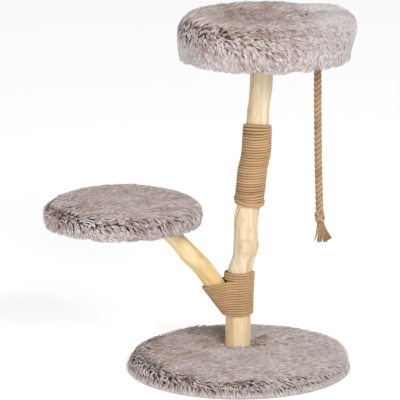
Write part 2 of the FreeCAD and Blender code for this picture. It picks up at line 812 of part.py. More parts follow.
rope_end = route[-1]
end_run = V(route[-1] - route[-2]).normalize()
whip_start = rope_end - end_run * number(whip_long)
outside = Part.makeCylinder(number(whip_radius), number(whip_long), whip_start, end_run)
inside = Part.makeCylinder(number(rope_radius + fit_gap), number(whip_long), whip_start, end_run)
toy_rope_whipping = doc.addObject("Part::Feature", "toy_rope_whipping")
toy_rope_whipping.Shape = outside.cut(inside)

tassel_rings = []
for i, (share, lean, girth) in enumerate([(0.0, 0.0, 0.5), (0.4, 0.35, 0.78), (1.0, 1.0, 1.0)]):
    ring = primitive("Circle", "tassel_ring%d" % i, {"Radius": tassel_radius * girth})
    ring_x = rope_x + ROPE_ROUTE[-1][0] + tassel_lean * lean
    ring_z = pivot_z - ROPE_ROUTE[-1][2] - 2 * fit_gap - tassel_long * share
    tassel_rings.append(place(ring, ring_x, rope_y + ROPE_ROUTE[-1][1], ring_z))
toy_rope_tassel = skin("toy_rope_tassel", tassel_rings)


# ---------------------------------------------------------------- check and write

PIECES = [
    base_board, base_plush_cover, base_underfelt, base_staples, base_washer, base_bolt, base_insert,
    base_screws, lower_trunk, trunk_stud, upper_trunk, side_branch, branch_screws, lower_lashing,
    upper_lashing, lashing_tacks, mid_board, mid_foam, mid_plush_cover, mid_undercloth, mid_staples,
    mid_screws, top_board, top_tee_nut, top_stud, top_bolster, top_pad, top_plush_cover,
    top_undercloth, top_staples, toy_rope_anchor, toy_rope_neck, toy_rope, toy_rope_whipping,
    toy_rope_tassel]

doc.recompute()
for feature in doc.Objects:
    if "Invalid" in feature.State or "Error" in feature.State:
        raise RuntimeError("%s failed: %s" % (feature.Name, feature.State))
for piece in PIECES:
    piece.Label = piece.Name
    if piece.Shape.isNull() or not piece.Shape.isValid() or not piece.Shape.Solids:
        raise RuntimeError("%s has no valid solid" % piece.Label)

os.makedirs("parts", exist_ok=True)
for piece in PIECES:
    piece.Shape.exportStep("parts/%s.step" % piece.Label)
    print("%-20s %d solids %10.0f mm3" % (piece.Label, len(piece.Shape.Solids), piece.Shape.Volume))
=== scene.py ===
import json
import math

import bpy
import numpy as np
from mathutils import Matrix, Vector, kdtree, noise


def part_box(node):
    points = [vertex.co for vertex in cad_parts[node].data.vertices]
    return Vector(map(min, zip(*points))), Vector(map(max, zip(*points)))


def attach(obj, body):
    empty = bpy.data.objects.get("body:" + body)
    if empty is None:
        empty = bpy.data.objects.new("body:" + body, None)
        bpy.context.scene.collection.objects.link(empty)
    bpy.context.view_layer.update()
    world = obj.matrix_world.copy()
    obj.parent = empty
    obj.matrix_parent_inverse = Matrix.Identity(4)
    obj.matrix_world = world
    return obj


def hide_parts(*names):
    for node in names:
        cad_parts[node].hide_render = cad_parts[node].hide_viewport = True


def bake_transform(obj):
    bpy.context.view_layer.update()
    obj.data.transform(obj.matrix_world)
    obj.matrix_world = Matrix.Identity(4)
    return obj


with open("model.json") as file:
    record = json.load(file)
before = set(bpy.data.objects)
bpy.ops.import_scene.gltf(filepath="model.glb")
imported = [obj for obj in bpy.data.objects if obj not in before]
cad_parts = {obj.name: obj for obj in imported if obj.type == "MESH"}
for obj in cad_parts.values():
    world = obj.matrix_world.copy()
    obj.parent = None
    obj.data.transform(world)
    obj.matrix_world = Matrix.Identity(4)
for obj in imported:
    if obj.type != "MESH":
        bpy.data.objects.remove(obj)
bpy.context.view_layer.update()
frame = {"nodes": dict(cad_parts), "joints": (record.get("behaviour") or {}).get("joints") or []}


# ---------------------------------------------------------------- studio
# A pale floor that runs into a white surround, a large soft lamp in front and to the right, and a
# weaker one on the left. The camera stands far off with a long lens, a little above the tree.

def tint(red, green, blue):
    """A colour chosen on the usual 0 to 255 scale, as the linear colour that shaders take."""
    return tuple(((c / 255 + 0.055) / 1.055) ** 2.4 for c in (red, green, blue)) + (1.0,)


class Wire:
    """A node's output socket. Arithmetic on wires and numbers adds Math nodes."""

    def __init__(self, finish, socket):
        self.finish = finish
        self.socket = socket

    def maths(self, operation, *values):
        return self.finish.node("ShaderNodeMath", {"operation": operation}, dict(enumerate(values)))

    def __add__(self, other):
        return self.maths("ADD", self, other)

    def __sub__(self, other):
        return self.maths("SUBTRACT", self, other)

    def __rsub__(self, other):
        return self.maths("SUBTRACT", other, self)

    def __mul__(self, other):
        return self.maths("MULTIPLY", self, other)

    __radd__ = __add__
    __rmul__ = __mul__


class Finish:
    """A material: constants on its shader's sockets, and one way to add any other node."""

    def __init__(self, name, **constants):
        self.material = bpy.data.materials.new(name)
        self.material.use_nodes = True
        self.shader = self.material.node_tree.nodes["Principled BSDF"]
        for socket, value in constants.items():
            self.shader.inputs[socket.replace("_", " ")].default_value = value

    def node(self, kind, settings=None, inputs=None, output=0):
        """Add a node, make its settings, then set or link its sockets; the result is an output."""
        new = self.material.node_tree.nodes.new(kind)
        for setting, value in (settings or {}).items():
            if setting == "stops":
                self.set_stops(new.color_ramp, value)
            else:
                setattr(new, setting, value)
        for socket, value in (inputs or {}).items():
            if isinstance(value, Wire):
                self.material.node_tree.links.new(value.socket, new.inputs[socket])
            else:
                new.inputs[socket].default_value = value
        return Wire(self, new.outputs[output])

    def set_stops(self, ramp, stops):
        while len(ramp.elements) < len(stops):
            ramp.elements.new(1.0)
        for element, (place, colour) in zip(ramp.elements, stops):
            element.position = place
            element.color = colour

    def feed(self, socket, wire):
        self.material.node_tree.links.new(wire.socket, self.shader.inputs[socket])

    def noise(self, where, scale, detail=3.0, roughness=0.5):
        return self.node("ShaderNodeTexNoise", {}, {
            "Vector": where, "Scale": scale, "Detail": detail, "Roughness": roughness})

    def place(self):
        return self.node("ShaderNodeTexCoord", {}, {}, 3)

    def stretched(self, where, scales):
        return self.node("ShaderNodeVectorMath", {"operation": "MULTIPLY"}, {0: where, 1: scales})

    def ramp(self, value, *stops):
        """Colours by value; each stop has its place and a colour on the 0 to 255 scale."""
        return self.node("ShaderNodeValToRGB", {"stops": [
            (place, tint(*colour)) for place, *colour in stops]}, {"Fac": value})

    def paint(self, value, *stops):
        self.feed("Base Color", self.ramp(value, *stops))

    def relief(self, strength, distance, height):
        self.feed("Normal", self.node("ShaderNodeBump", {}, {
            "Strength": strength, "Distance": distance, "Height": height}))


def lamp(name, place, aim, size, power):
    bpy.ops.object.light_add(type="AREA", location=place)
    light = bpy.context.object
    light.name = name
    light.data.shape = "DISK"
    light.data.size = size
    light.data.energy = power
    light.rotation_euler = (Vector(aim) - Vector(place)).to_track_quat("-Z", "Y").to_euler()


middle = Vector((-0.0875, 0.0, 0.3953))
bpy.ops.object.camera_add(location=(-0.0875, -7.4776, 2.2323))
camera = bpy.context.object
camera.rotation_euler = (middle - camera.location).to_track_quat("-Z", "Y").to_euler()
camera.data.lens = 304.9
camera.data.sensor_width = 36.0
camera.data.clip_end = 60.0
bpy.context.scene.camera = camera
bpy.context.scene.view_settings.view_transform = "Standard"

lamp("key_lamp", (1.3, -3.0, 2.5), middle, 1.5, 85.5)
lamp("fill_lamp", (-2.2, -2.8, 1.2), middle, 2.2, 17.0)

surround = bpy.data.worlds.new("surround")
bpy.context.scene.world = surround
surround.use_nodes = True
seen = surround.node_tree.nodes.new("ShaderNodeLightPath")
level = surround.node_tree.nodes.new("ShaderNodeMapRange")
level.inputs["To Min"].default_value = 0.55
level.inputs["To Max"].default_value = 1.0
backdrop = surround.node_tree.nodes["Background"]
surround.node_tree.links.new(seen.outputs["Is Camera Ray"], level.inputs["Value"])
surround.node_tree.links.new(level.outputs["Result"], backdrop.inputs["Strength"])
backdrop.inputs["Color"].default_value = (1.0, 1.0, 1.0, 1.0)

bpy.ops.mesh.primitive_plane_add(size=14.0, location=(0, 0, -0.0005))
floor = bpy.context.object
floor.name = "floor"
floor.data.materials.append(Finish(
    "floor_paint", Base_Color=(0.93, 0.93, 0.93, 1.0), Roughness=0.9,
    Emission_Color=(1.0, 1.0, 1.0, 1.0), Emission_Strength=0.4).material)
bpy.ops.object.select_all(action="DESELECT")


# ---------------------------------------------------------------- toy rope
# Three-strand natural rope, 18 mm thick, that hangs from a knot inside the bed and passes down
# through the bed's board. Its lower end is tied round with its own strands and left to fray.

def spun(name, frost_and_groove_shade, tones, **constants):
    """Strands coloured by UV: V is how far out a point lies from its strand's core, U its tone. The
    first ramp, by V, is painted shade on rope and cord, dark in the grooves and pale on the crests; on
    the pile it is the frosting from root to tip.
    """
    finish = Finish(name, **constants)
    place = finish.node("ShaderNodeUVMap", {"uv_map": "OFBake"})
    tone, crest = [finish.node("ShaderNodeSeparateXYZ", {}, {"Vector": place}, i) for i in (0, 1)]
    finish.feed("Base Color", finish.node("ShaderNodeMix", {
        "data_type": "RGBA", "blend_type": "MULTIPLY"}, {
            "Factor": 1.0, 6: finish.ramp(crest, *frost_and_groove_shade), 7: finish.ramp(tone, *tones)}, 2))
    return finish


# The rope's first ramp is painted shade: dark brown in the grooves, pale tan on the crests.
fibre = spun("rope_fibre", [
    (0.0, 88, 62, 38), (0.3, 136, 104, 70), (0.65, 178, 146, 108), (1.0, 200, 172, 134)], [
    (0.0, 196, 186, 176), (0.5, 238, 236, 232), (1.0, 255, 250, 240)],
    Roughness=0.85, Sheen_Weight=0.15, Sheen_Roughness=0.5)


def held(values):
    """Values kept between 0 and 1."""
    return np.clip(values, 0, 1)


def norms(vectors):
    return np.linalg.norm(vectors, axis=1)


def unit(vectors):
    return vectors / np.maximum(norms(vectors), 1e-9)[:, None]


def evenly(points, step):
    """The same line as points one step apart, with how far along it each one lies."""
    points = np.asarray(points, float)
    gone = np.concatenate([[0.0], np.cumsum(norms(np.diff(points, axis=0)))])
    marks = np.linspace(0.0, gone[-1], max(3, int(gone[-1] / step) + 1))
    return np.stack([np.interp(marks, gone, points[:, i]) for i in range(3)], axis=1), marks


def square_axes(points):
    """Two directions square to a line at each of its points, carried along without twist."""
    run = unit(np.gradient(points, axis=0))
    first = np.cross(run[0], (0.0, 1.0, 0.0) if abs(run[0][1]) < 0.9 else (1.0, 0.0, 0.0))
    sides = [first / np.linalg.norm(first)]
    for direction in run[1:]:
        side = sides[-1] - direction * (sides[-1] @ direction)
        sides.append(side / np.linalg.norm(side))
    sides = np.array(sides)
    return sides, np.cross(run, sides)


def turned(sides):
    return np.arange(sides) * math.tau / sides


def square_to(points, turn):
    """The directions square to a line at each of its points, one for each angle of turn."""
    one, two = square_axes(points)
    return one[:, None] * np.cos(turn)[..., None] + two[:, None] * np.sin(turn)[..., None]


def shaded(tone, crest):
    """The UV of each point of a strand."""
    return np.stack(np.broadcast_arrays(tone, np.clip(crest, 0.02, 0.98)), axis=-1)


def swept(points, reach, shades):
    """A closed tube: reach[i, j] is how far side j lies from point i, shades[i, j] its UV."""
    rings, sides = reach.shape
    spots = points[:, None] + reach[..., None] * square_to(points, turned(sides))
    index = np.arange(rings * sides).reshape(rings, sides)
    ahead = np.roll(index, -1, axis=1)
    quads = np.stack([index[:-1], ahead[:-1], ahead[1:], index[1:]], axis=-1).reshape(-1, 4)
    first, last = rings * sides, rings * sides + 1
    caps = np.concatenate([
        np.stack([np.full(sides, first), ahead[0], index[0]], axis=-1),
        np.stack([np.full(sides, last), index[-1], ahead[-1]], axis=-1)])
    return (np.concatenate([spots.reshape(-1, 3), points[:1], points[-1:]]), quads, caps,
            np.concatenate([shades.reshape(-1, 2), shades[:1].mean(1), shades[-1:].mean(1)]))


def mesh_piece(name, parts, finish):
    """One smooth object from parts, each (points, quads, triangles, UV of each point)."""
    points = np.concatenate([part[0] for part in parts])
    shades = np.concatenate([part[3] for part in parts])
    starts = np.cumsum([0] + [len(part[0]) for part in parts])
    quads = np.concatenate([part[1] + start for part, start in zip(parts, starts)])
    caps = np.concatenate([part[2] + start for part, start in zip(parts, starts)])
    corners = np.concatenate([quads.ravel(), caps.ravel()]).astype(np.int32)
    firsts = np.concatenate([np.arange(len(quads)) * 4, len(quads) * 4 + np.arange(len(caps)) * 3])
    mesh = bpy.data.meshes.new(name)
    mesh.vertices.add(len(points))
    mesh.vertices.foreach_set("co", points.astype(np.float32).ravel())
    mesh.loops.add(len(corners))
    mesh.loops.foreach_set("vertex_index", corners)
    mesh.polygons.add(len(firsts))
    mesh.polygons.foreach_set("loop_start", firsts.astype(np.int32))
    mesh.uv_layers.new(name="OFBake").data.foreach_set(
        "uv", shades[corners].astype(np.float32).ravel())
    mesh.update(calc_edges=True)
    mesh.polygons.foreach_set("use_smooth", np.ones(len(firsts), bool))
    piece = bpy.data.objects.new(name, mesh)
    bpy.context.collection.objects.link(piece)
    piece.data.materials.append(finish.material)
    return piece


pivot = np.array(frame["joints"][0]["pos_m"])
route = [(0.0, 0.0, 0.0), (0.0012, 0.0008, -0.124), (0.0036, -0.0006, -0.250), (0.008, 0.0003, -0.3757)]
bpy.ops.curve.primitive_nurbs_path_add()
guide = bpy.context.object
guide.data.splines.clear()
spline = guide.data.splines.new("NURBS")
spline.points.add(len(route) - 1)
for point, spot in zip(spline.points, route):
    point.co = (*(pivot + spot), 1.0)
spline.order_u = 3
spline.use_endpoint_u = True
spline.resolution_u = 24
line = bpy.data.meshes.new_from_object(guide)
rope_line = np.array([point.co for point in line.vertices])
bpy.data.objects.remove(guide)

rope_lay = 0.0375        # one full turn of a strand
strand_radius = 0.0046
strand_out = 0.0044      # a strand's middle from the rope's
yarns = 8                # in each strand
yarn_lay = 0.11          # one full turn of a yarn in its strand


def rope_strands(points, marks, swell):
    """The rope's three strands along a line; swell scales them at each point."""
    one, two = square_axes(points)
    turn = turned(24)
    parts = []
    for strand in range(3):
        phase = strand * math.tau / 3 + marks * math.tau / rope_lay
        offset = strand_out * swell[:, None] * (
            np.cos(phase)[:, None] * one + np.sin(phase)[:, None] * two)
        spots = points + offset
        yarn = np.cos(yarns * (turn + marks[:, None] * math.tau / yarn_lay + strand))
        uneven = 1 + 0.02 * np.sin(marks * 210 + strand * 2.1) + 0.015 * np.sin(marks * 97 + strand)
        reach = strand_radius * swell[:, None] * uneven[:, None] * (1 + 0.045 * yarn)
        # painted shade: V is lowest where a strand faces the rope's core and in the grooves between its
        # yarns, so these are painted dark
        away = (offset[:, None] * square_to(spots, turn)).sum(-1) / strand_out
        tone = 0.5 + 0.22 * np.sin(marks * 61 + strand * 1.7) + 0.12 * np.sin(marks * 233 + strand)
        parts.append(swept(spots, reach, shaded(tone[:, None], 0.36 + 0.42 * away + 0.16 * yarn)))
    return parts


step = 0.0014
head = 0.006             # the rope's rounded top, above the point that it swings about
tied = 0.012             # the length over which the rope narrows into its knot
spots, marks = evenly(rope_line, step)
above = head * np.array([1, 0.7, 0.3])
spots = np.concatenate([spots[0] + np.outer(above, (0, 0, 1)), spots])
marks = np.concatenate([-above, marks])
swell = held(np.sqrt(np.maximum(0.06, 1 - (np.minimum(marks, 0) / (head * 1.02)) ** 2)))
swell *= 1 - 0.45 * held((marks - marks[-1] + tied) / tied)
rope = mesh_piece("toy_rope_strands", rope_strands(spots, marks, swell), fibre)

bend_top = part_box("top_undercloth")[0].z + 0.001
bend_marks = np.arange(-(bend_top - pivot[2]), 0.0021, step)
bend_spots = pivot - np.outer(bend_marks, (0, 0, 1))
rounding = 0.0065        # from this far above the pivot the bend's end is rounded
bend_swell = np.where(bend_marks > -rounding, np.sqrt(np.maximum(
    0.1, 1 - ((bend_marks + rounding) / 0.0088) ** 2)), 1.0)
bend = mesh_piece("toy_rope_bend", rope_strands(bend_spots, bend_marks, bend_swell * 0.97), fibre)

end_run = rope_line[-1] - rope_line[-2]
end_run /= np.linalg.norm(end_run)
knot_middle = rope_line[-1] - end_run * 0.0125
turns = np.linspace(0, math.tau, 181)[:-1]      # round a trefoil, drawn tight
knot_wide = 0.0074 + 0.0013 * np.cos(3 * turns)
knot_line = knot_middle + np.stack([
    knot_wide * np.cos(2 * turns + 0.5), knot_wide * np.sin(2 * turns + 0.5),
    0.0088 * np.sin(3 * turns)], axis=1)
knot_line = np.concatenate([knot_line, knot_line[:2]])
knot_line, knot_marks = evenly(knot_line, 0.001)
around = turned(18)
knot_yarn = np.cos(6 * (around + knot_marks[:, None] * math.tau / 0.05))
outward = knot_line - knot_middle
outward = unit(outward - np.outer(outward @ end_run, end_run))
away = (square_to(knot_line, around) * outward[:, None]).sum(-1)
# painted shade: the knot's turns are painted darker on their inner sides and in their yarn grooves
knot = mesh_piece("toy_rope_knot", [swept(knot_line, 0.0037 * (1 + 0.05 * knot_yarn), shaded(
    (0.55 + 0.3 * np.sin(knot_marks * 70))[:, None], 0.45 + 0.4 * away + 0.14 * knot_yarn))],
    fibre)

chance = np.random.default_rng(41)
fray = []
fray_top = rope_line[-1] - end_run * 0.004
bundles = [(150, 0.0006, 0.0, -0.0010, 0.0046, 0.0525), (130, 0.0042, -0.002, 0.0142, 0.0044, 0.0512),
           (150, 0.0058, 0.003, 0.0222, 0.0054, 0.0462), (7, -0.0015, 0.001, -0.0100, 0.0012, 0.0490)]
share = np.linspace(0, 1, 9)[:, None]
thick = 0.00062 * np.array([1, 1, 1, 1, 1, 0.95, 0.85, 0.65, 0.3])[:, None]
fibres_in_yarn = 15
for fibres, start_x, start_y, end_x, spread, long in bundles:
    for number in range(fibres):
        if number % fibres_in_yarn == 0:
            yarn_out, yarn_angle = math.sqrt(chance.random()), chance.random() * math.tau
            yarn_lean = np.array([math.cos(yarn_angle), math.sin(yarn_angle), 0.0]) * yarn_out
            yarn_tone, yarn_long = chance.random(), long * (0.95 + 0.07 * chance.random())
        own = chance.normal(0, 0.38, 3) * (1, 1, 0)
        lean = (yarn_lean + own) * (1, 0.8, 1)
        spine = fray_top + np.array([start_x, start_y, 0]) * (1 - share) + lean * 0.0026 * (1 - share)
        spine = spine + (np.array([end_x, start_y * 1.4, 0]) + lean * spread) * share ** 1.5
        full = yarn_long * (0.90 + 0.12 * chance.random())
        spine = spine - np.array([0, 0, 1.0]) * full * share
        spine[1:, :2] += chance.normal(0, 0.00040, (8, 2)) * share[1:]
        crest = 0.34 + 0.30 * yarn_tone + 0.25 * np.linalg.norm(own) + 0.10 * share
        fray.append(swept(spine, np.repeat(thick, 4, axis=1), shaded(
            0.1 + 0.8 * chance.random(), np.repeat(crest, 4, axis=1))))
tassel = mesh_piece("toy_rope_fray", fray, fibre)

for piece, node in ((rope, "toy_rope"), (knot, "toy_rope_whipping"), (tassel, "toy_rope_tassel")):
    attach(piece, "toy_rope")
    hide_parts(node)
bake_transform(bend)
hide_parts("toy_rope_neck")


def finished(finish, *nodes):
    """CAD nodes whose shape is right stay, and take this finish."""
    for node in nodes:
        frame["nodes"][node].data.materials.clear()
        frame["nodes"][node].data.materials.append(finish.material)


finished(fibre, "toy_rope_anchor")


# ---------------------------------------------------------------- foot: board and hardware
# A round of 18 mm plywood carries the stand. A bolt from below holds the stump in its brass insert,
# two screws stop it turning, and staples hold the plush that is folded under the board's edge.

ply = Finish("plywood", Roughness=0.7, Specular_IOR_Level=0.3)
where = ply.place()
grain = ply.noise(ply.stretched(where, (0.12, 1.0, 1.0)), 90.0, 4.0, 0.6)
layer_thick = 0.003      # of one pair of veneers
layer = ply.node("ShaderNodeMath", {"operation": "SINE"}, {
    0: ply.node("ShaderNodeSeparateXYZ", {}, {"Vector": where}, 2) * (math.tau / layer_thick)})
ply.paint(grain * 0.7 + layer * 0.08 + 0.1, (0.25, 150, 112, 72), (0.5, 202, 168, 122),
          (0.75, 226, 198, 156))
ply.relief(0.3, 0.0006, grain)


def metal(name, dull, bright, rough):
    """Plated metal with faint mottling."""
    plate = Finish(name, Metallic=1.0)
    mottle = plate.noise(plate.place(), 420.0, 3.0, 0.6)
    plate.paint(mottle, (0.3, *dull), (0.7, *bright))
    plate.feed("Roughness", mottle * 0.2 + rough)
    return plate


zinc = metal("zinc_plate", (168, 170, 174), (206, 208, 210), 0.28)
brass = metal("plain_brass", (190, 156, 92), (220, 188, 118), 0.3)
finished(ply, "base_board")
finished(zinc, "base_staples", "base_washer", "base_bolt", "base_screws")
finished(brass, "base_insert")


# ---------------------------------------------------------------- foot: plush cover and felt
# A knitted backing with a long frosted pile, brown at its roots and pale at its tips, pulled over
# the board and stapled underneath. A disc of dense felt covers the staples and protects the floor.

backing = Finish("plush_backing", Roughness=0.95)
knit = backing.noise(backing.place(), 900.0, 2.0, 0.5)
backing.paint(knit, (0.3, 86, 62, 46), (0.7, 126, 98, 78))
backing.relief(0.4, 0.0005, knit)


def opened(name):
    """The form just added gets its name and the world's origin, and is opened with all selected."""
    form = bpy.context.object
    form.name = name
    bpy.ops.object.transform_apply(location=True)
    bpy.ops.object.mode_set(mode="EDIT")
    bpy.ops.mesh.select_all(action="SELECT")
    return form


def closed():
    """The open form's faces are turned outwards, and it is closed."""
    bpy.ops.mesh.select_all(action="SELECT")
    bpy.ops.mesh.normals_make_consistent(inside=False)
    bpy.ops.object.mode_set(mode="OBJECT")


def modified(form, kind, **settings):
    """A modifier is added, set and applied."""
    modifier = form.modifiers.new("change", kind)
    for setting, value in settings.items():
        setattr(modifier, setting, value)
    bpy.ops.object.modifier_apply(modifier="change")


def dressed(form, finish):
    """The form gets its finish and moves with the stand."""
    form.data.materials.append(finish.material)
    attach(form, "stand")
    return form


def rough(spots, scale):
    """Smoothly varying random values, one for each point."""
    return np.array([noise.noise(Vector(spot * scale)) for spot in spots])


def hill(far):
    """1 in the middle, falling smoothly to nearly 0 at twice the unit of distance."""
    return np.exp(-far ** 2)


def hill_at(spots, x, y, wide):
    return np.exp(-((spots[:, 0] - x) ** 2 + (spots[:, 1] - y) ** 2) / wide ** 2)


def apart(spots, middle):
    """How far points lie from the upright line through a middle."""
    return norms(spots[:, :2] - middle[:2])


def pulled_cover(name, outline):
    """Cloth drawn ring by ring over a form: each ring has its middle X and Y, radius and height."""
    bpy.ops.object.select_all(action="DESELECT")
    x, y, radius, height = outline[0]
    bpy.ops.mesh.primitive_circle_add(vertices=64, radius=radius, location=(x, y, height))
    cover = opened(name)
    for new_x, new_y, new_radius, new_height in outline[1:]:
        bpy.ops.mesh.extrude_region_move(TRANSFORM_OT_translate={
            "value": (new_x - x, new_y - y, new_height - height)})
        grow = new_radius / radius
        bpy.ops.transform.resize(value=(grow, grow, 1), center_override=(new_x, new_y, new_height))
        x, y, radius, height = new_x, new_y, new_radius, new_height
    if radius < 0.002:
        bpy.ops.mesh.merge(type="CENTER")
    closed()
    modified(cover, "SOLIDIFY", thickness=0.0012, offset=1.0)
    modified(cover, "SUBSURF", levels=1, render_levels=1)
    cover.data.shade_smooth()
    return dressed(cover, backing)


pile = spun("frosted_pile", [
    (0.0, 146, 108, 86), (0.25, 178, 148, 132), (0.55, 221, 205, 200), (0.88, 253, 249, 252)], [
    (0.0, 176, 144, 122), (0.35, 206, 187, 176), (0.75, 246, 243, 241), (1.0, 255, 255, 255)],
    Roughness=0.8, Sheen_Weight=0.2, Sheen_Roughness=0.6)


def scattered(middle, profile, count, chance):
    """Roots spread evenly over a turned surface, with the outward direction at each."""
    profile = np.asarray(profile, float)
    run = np.diff(profile, axis=0)
    long = norms(run)
    face = np.stack([run[:, 1], -run[:, 0]], axis=1) / long[:, None]
    corner = unit(np.concatenate([face[:1], face[:-1] + face[1:], face[-1:]]))
    areas = np.concatenate([[0], np.cumsum((profile[:-1, 0] + profile[1:, 0]) * long)])
    gone = (np.arange(count) + chance.random(count)) / count * areas[-1]
    radius, height = [np.interp(gone, areas, profile[:, i]) for i in (0, 1)]
    face_out, face_up = [np.interp(gone, areas, corner[:, i]) for i in (0, 1)]
    angle = np.arange(count) * math.pi * (3 - math.sqrt(5)) + chance.normal(0, 0.01, count)
    ways = np.stack([np.cos(angle), np.sin(angle), 0 * angle], axis=1)
    up = np.array([0.0, 0.0, 1.0])
    roots = np.asarray(middle) + ways * radius[:, None] + up * height[:, None]
    return roots, unit(ways * face_out[:, None] + up * face_up[:, None])


strands_in_tuft = 8
strand_wide = 0.00082    # half of one strand's width
root_depth = 0.0006      # its root is sunk this far into the cloth


def furred(names, middle, profile, count, comb, rise_of, length_of, tone_and_light_of, seed, edge_of, fit,
           open_of):
    """Pile on a turned surface, as tapered strands that lean the way they are combed, in tufts."""
    chance = np.random.default_rng(seed)
    roots, faces = scattered(middle, profile, count, chance)
    tufts, tuft_faces = scattered(middle, profile, count // strands_in_tuft, chance)

    def laid(spots, outward, jitter):
        way = comb(spots, outward) + chance.normal(0, 1, spots.shape) * (
            jitter * (1 + 1.5 * open_of(spots)))[:, None]
        drift = np.array([[noise.noise(Vector(spot * 17.0 + shift)) for shift in (3.0, 11.0)]
                          for spot in spots])
        way[:, 0] += 0.35 * drift[:, 0]
        way[:, 1] += 0.75 * drift[:, 1]
        way = unit(way - outward * (way * outward).sum(1)[:, None])
        high = rise_of(spots, outward) * (0.82 + 0.3 * chance.random(len(spots)))
        long = length_of(spots, outward) * (0.8 + 0.35 * chance.random(len(spots)))
        room = spots[:, 2] + 0.86 * high * outward[:, 2] - edge_of(spots)
        falling = np.maximum(-way[:, 2], 0.15)
        long = np.minimum(long, np.maximum(room / (0.8 * falling), 0.004))
        bend = spots + outward * (high * 0.95)[:, None] + way * (0.16 * long)[:, None]
        tip = spots + outward * (high * 0.86)[:, None] + way * (0.8 * long)[:, None]
        return bend, tip, way

    bend, tip, way = laid(roots, faces, 0.09)
    tuft_bend, tuft_tip, _ = laid(tufts, tuft_faces, 0.16)
    tree = kdtree.KDTree(len(tufts))
    for index, spot in enumerate(tufts):
        tree.insert(spot, index)
    tree.balance()
    nearest = np.array([tree.find(spot)[1] for spot in roots])
    # how far each strand is drawn to its own tuft
    pull = np.minimum(0.16 + 0.34 * chance.random(count) + 0.4 * open_of(roots), 0.85)[:, None]
    tip = tip * (1 - pull) + (tuft_tip[nearest] + 0.35 * (roots - tufts[nearest])) * pull
    bend = (bend * (1 - 0.45 * pull)
            + (tuft_bend[nearest] + 0.7 * (roots - tufts[nearest])) * 0.45 * pull)
    patch, fleck = rough(roots, 24), rough(roots, 100)
    # each surface's tone function also paints light and shade into this tone
    tone = np.clip(tone_and_light_of(roots, faces) + 0.2 * patch + (0.1 + 0.3 * open_of(roots)) * fleck
                   + 0.12 * chance.normal(0, 1, len(tufts))[nearest] + 0.14 * chance.normal(0, 1, count),
                   0.02, 0.92)
    base = roots - faces * root_depth
    wide = strand_wide * (0.8 + 0.4 * chance.random(count))
    flat = unit(np.cross(way, faces))
    strand = []
    for share, grow in ((0.0, 0.9), (0.56, 1.0)):
        spine = base * (1 - share) ** 2 + bend * 2 * share * (1 - share) + tip * share ** 2
        side = flat * (wide * grow)[:, None]
        lift = faces * (wide * grow * 0.6)[:, None]
        strand += [spine - side - lift * 0.5, spine + side - lift * 0.5, spine + lift]
    strand.append(tip)
    points = np.stack(strand, axis=1)
    points = fit(points.reshape(-1, 3)).reshape(points.shape)
    quads = np.array([[0, 1, 4, 3], [1, 2, 5, 4], [2, 0, 3, 5]])
    caps = np.array([[3, 4, 6], [4, 5, 6], [5, 3, 6], [0, 2, 1]])
    heights = np.array([0.03] * 3 + [0.56] * 3 + [0.97])      # at root, middle and tip
    shades = shaded(tone[:, None], heights)
    pieces = []
    for part, name in enumerate(names):
        mine = slice(part * count // len(names), (part + 1) * count // len(names))
        number = len(tone[mine])
        starts = np.arange(number)[:, None, None] * 7
        piece = mesh_piece(name, [(points[mine].reshape(-1, 3), (quads + starts).reshape(-1, 4),
                                   (caps + starts).reshape(-1, 3), shades[mine].reshape(-1, 2))],
                           pile)
        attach(piece, "stand")
        pieces.append(piece)
    return pieces


def levels_of(node, least=60, wide=0.04):
    """A CAD bar's level outlines: height, then the middle and half width along X and along Y."""
    spots = np.array([vertex.co for vertex in frame["nodes"][node].data.vertices])
    rows = []
    for height in np.unique(np.round(spots[:, 2], 4)):
        ring = spots[np.abs(spots[:, 2] - height) < 0.0001]
        low, high = ring.min(axis=0), ring.max(axis=0)
        if len(ring) >= least and high[0] - low[0] > wide:
            rows.append([height, *(low + high)[:2] / 2, *(high - low)[:2] / 2])
    return np.array(rows)


def at_height(levels, height, *columns):
    """A bar's outline at a height, from the wanted columns of its levels."""
    return [np.interp(height, levels[:, 0], levels[:, i]) for i in columns]


foot_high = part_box("base_plush_cover")[1]
board_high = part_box("base_board")[1]
board_reach = board_high.x
tuck = 0.2105            # how far in the plush is folded under the board
pole_foot = at_height(levels_of("lower_trunk"), foot_high.z, 1, 2, 3)
foot_cover = pulled_cover("foot_plush_backing", [
    (0, 0, tuck, 0.0012), (0, 0, board_reach - 0.004, 0.0012), (0, 0, board_reach + 0.0008, 0.0022),
    (0, 0, board_reach + 0.0014, 0.005), (0, 0, board_reach + 0.0014, 0.0195),
    (0, 0, board_reach + 0.0008, 0.0226), (0, 0, board_reach - 0.005, 0.0226), (0, 0, 0.2, 0.0222),
    (0, 0.02, 0.13, 0.0222), (pole_foot[0], pole_foot[1], pole_foot[2] + 0.006, 0.0222),
    (pole_foot[0], pole_foot[1], pole_foot[2] + 0.0008, 0.0224)])


def ragged(spots):
    """A wandering offset of a few millimetres, so that no parting runs in a clean ring."""
    return rough(spots, 26.0) * 0.014


def drawn_in(points, middle, reach, level, droop=0.45):
    """Holds in most of what stands out beyond a radius, and lets what lies over the edge droop."""
    away = points[:, :2] - middle[:2]
    far = np.maximum(norms(away), 1e-6)
    points[:, 2] -= droop * np.maximum(far - reach + 0.016, 0) * held((points[:, 2] - level) / 0.01)
    points[:, :2] -= away * (0.6 * np.maximum(far - reach, 0) / far)[:, None]
    return points


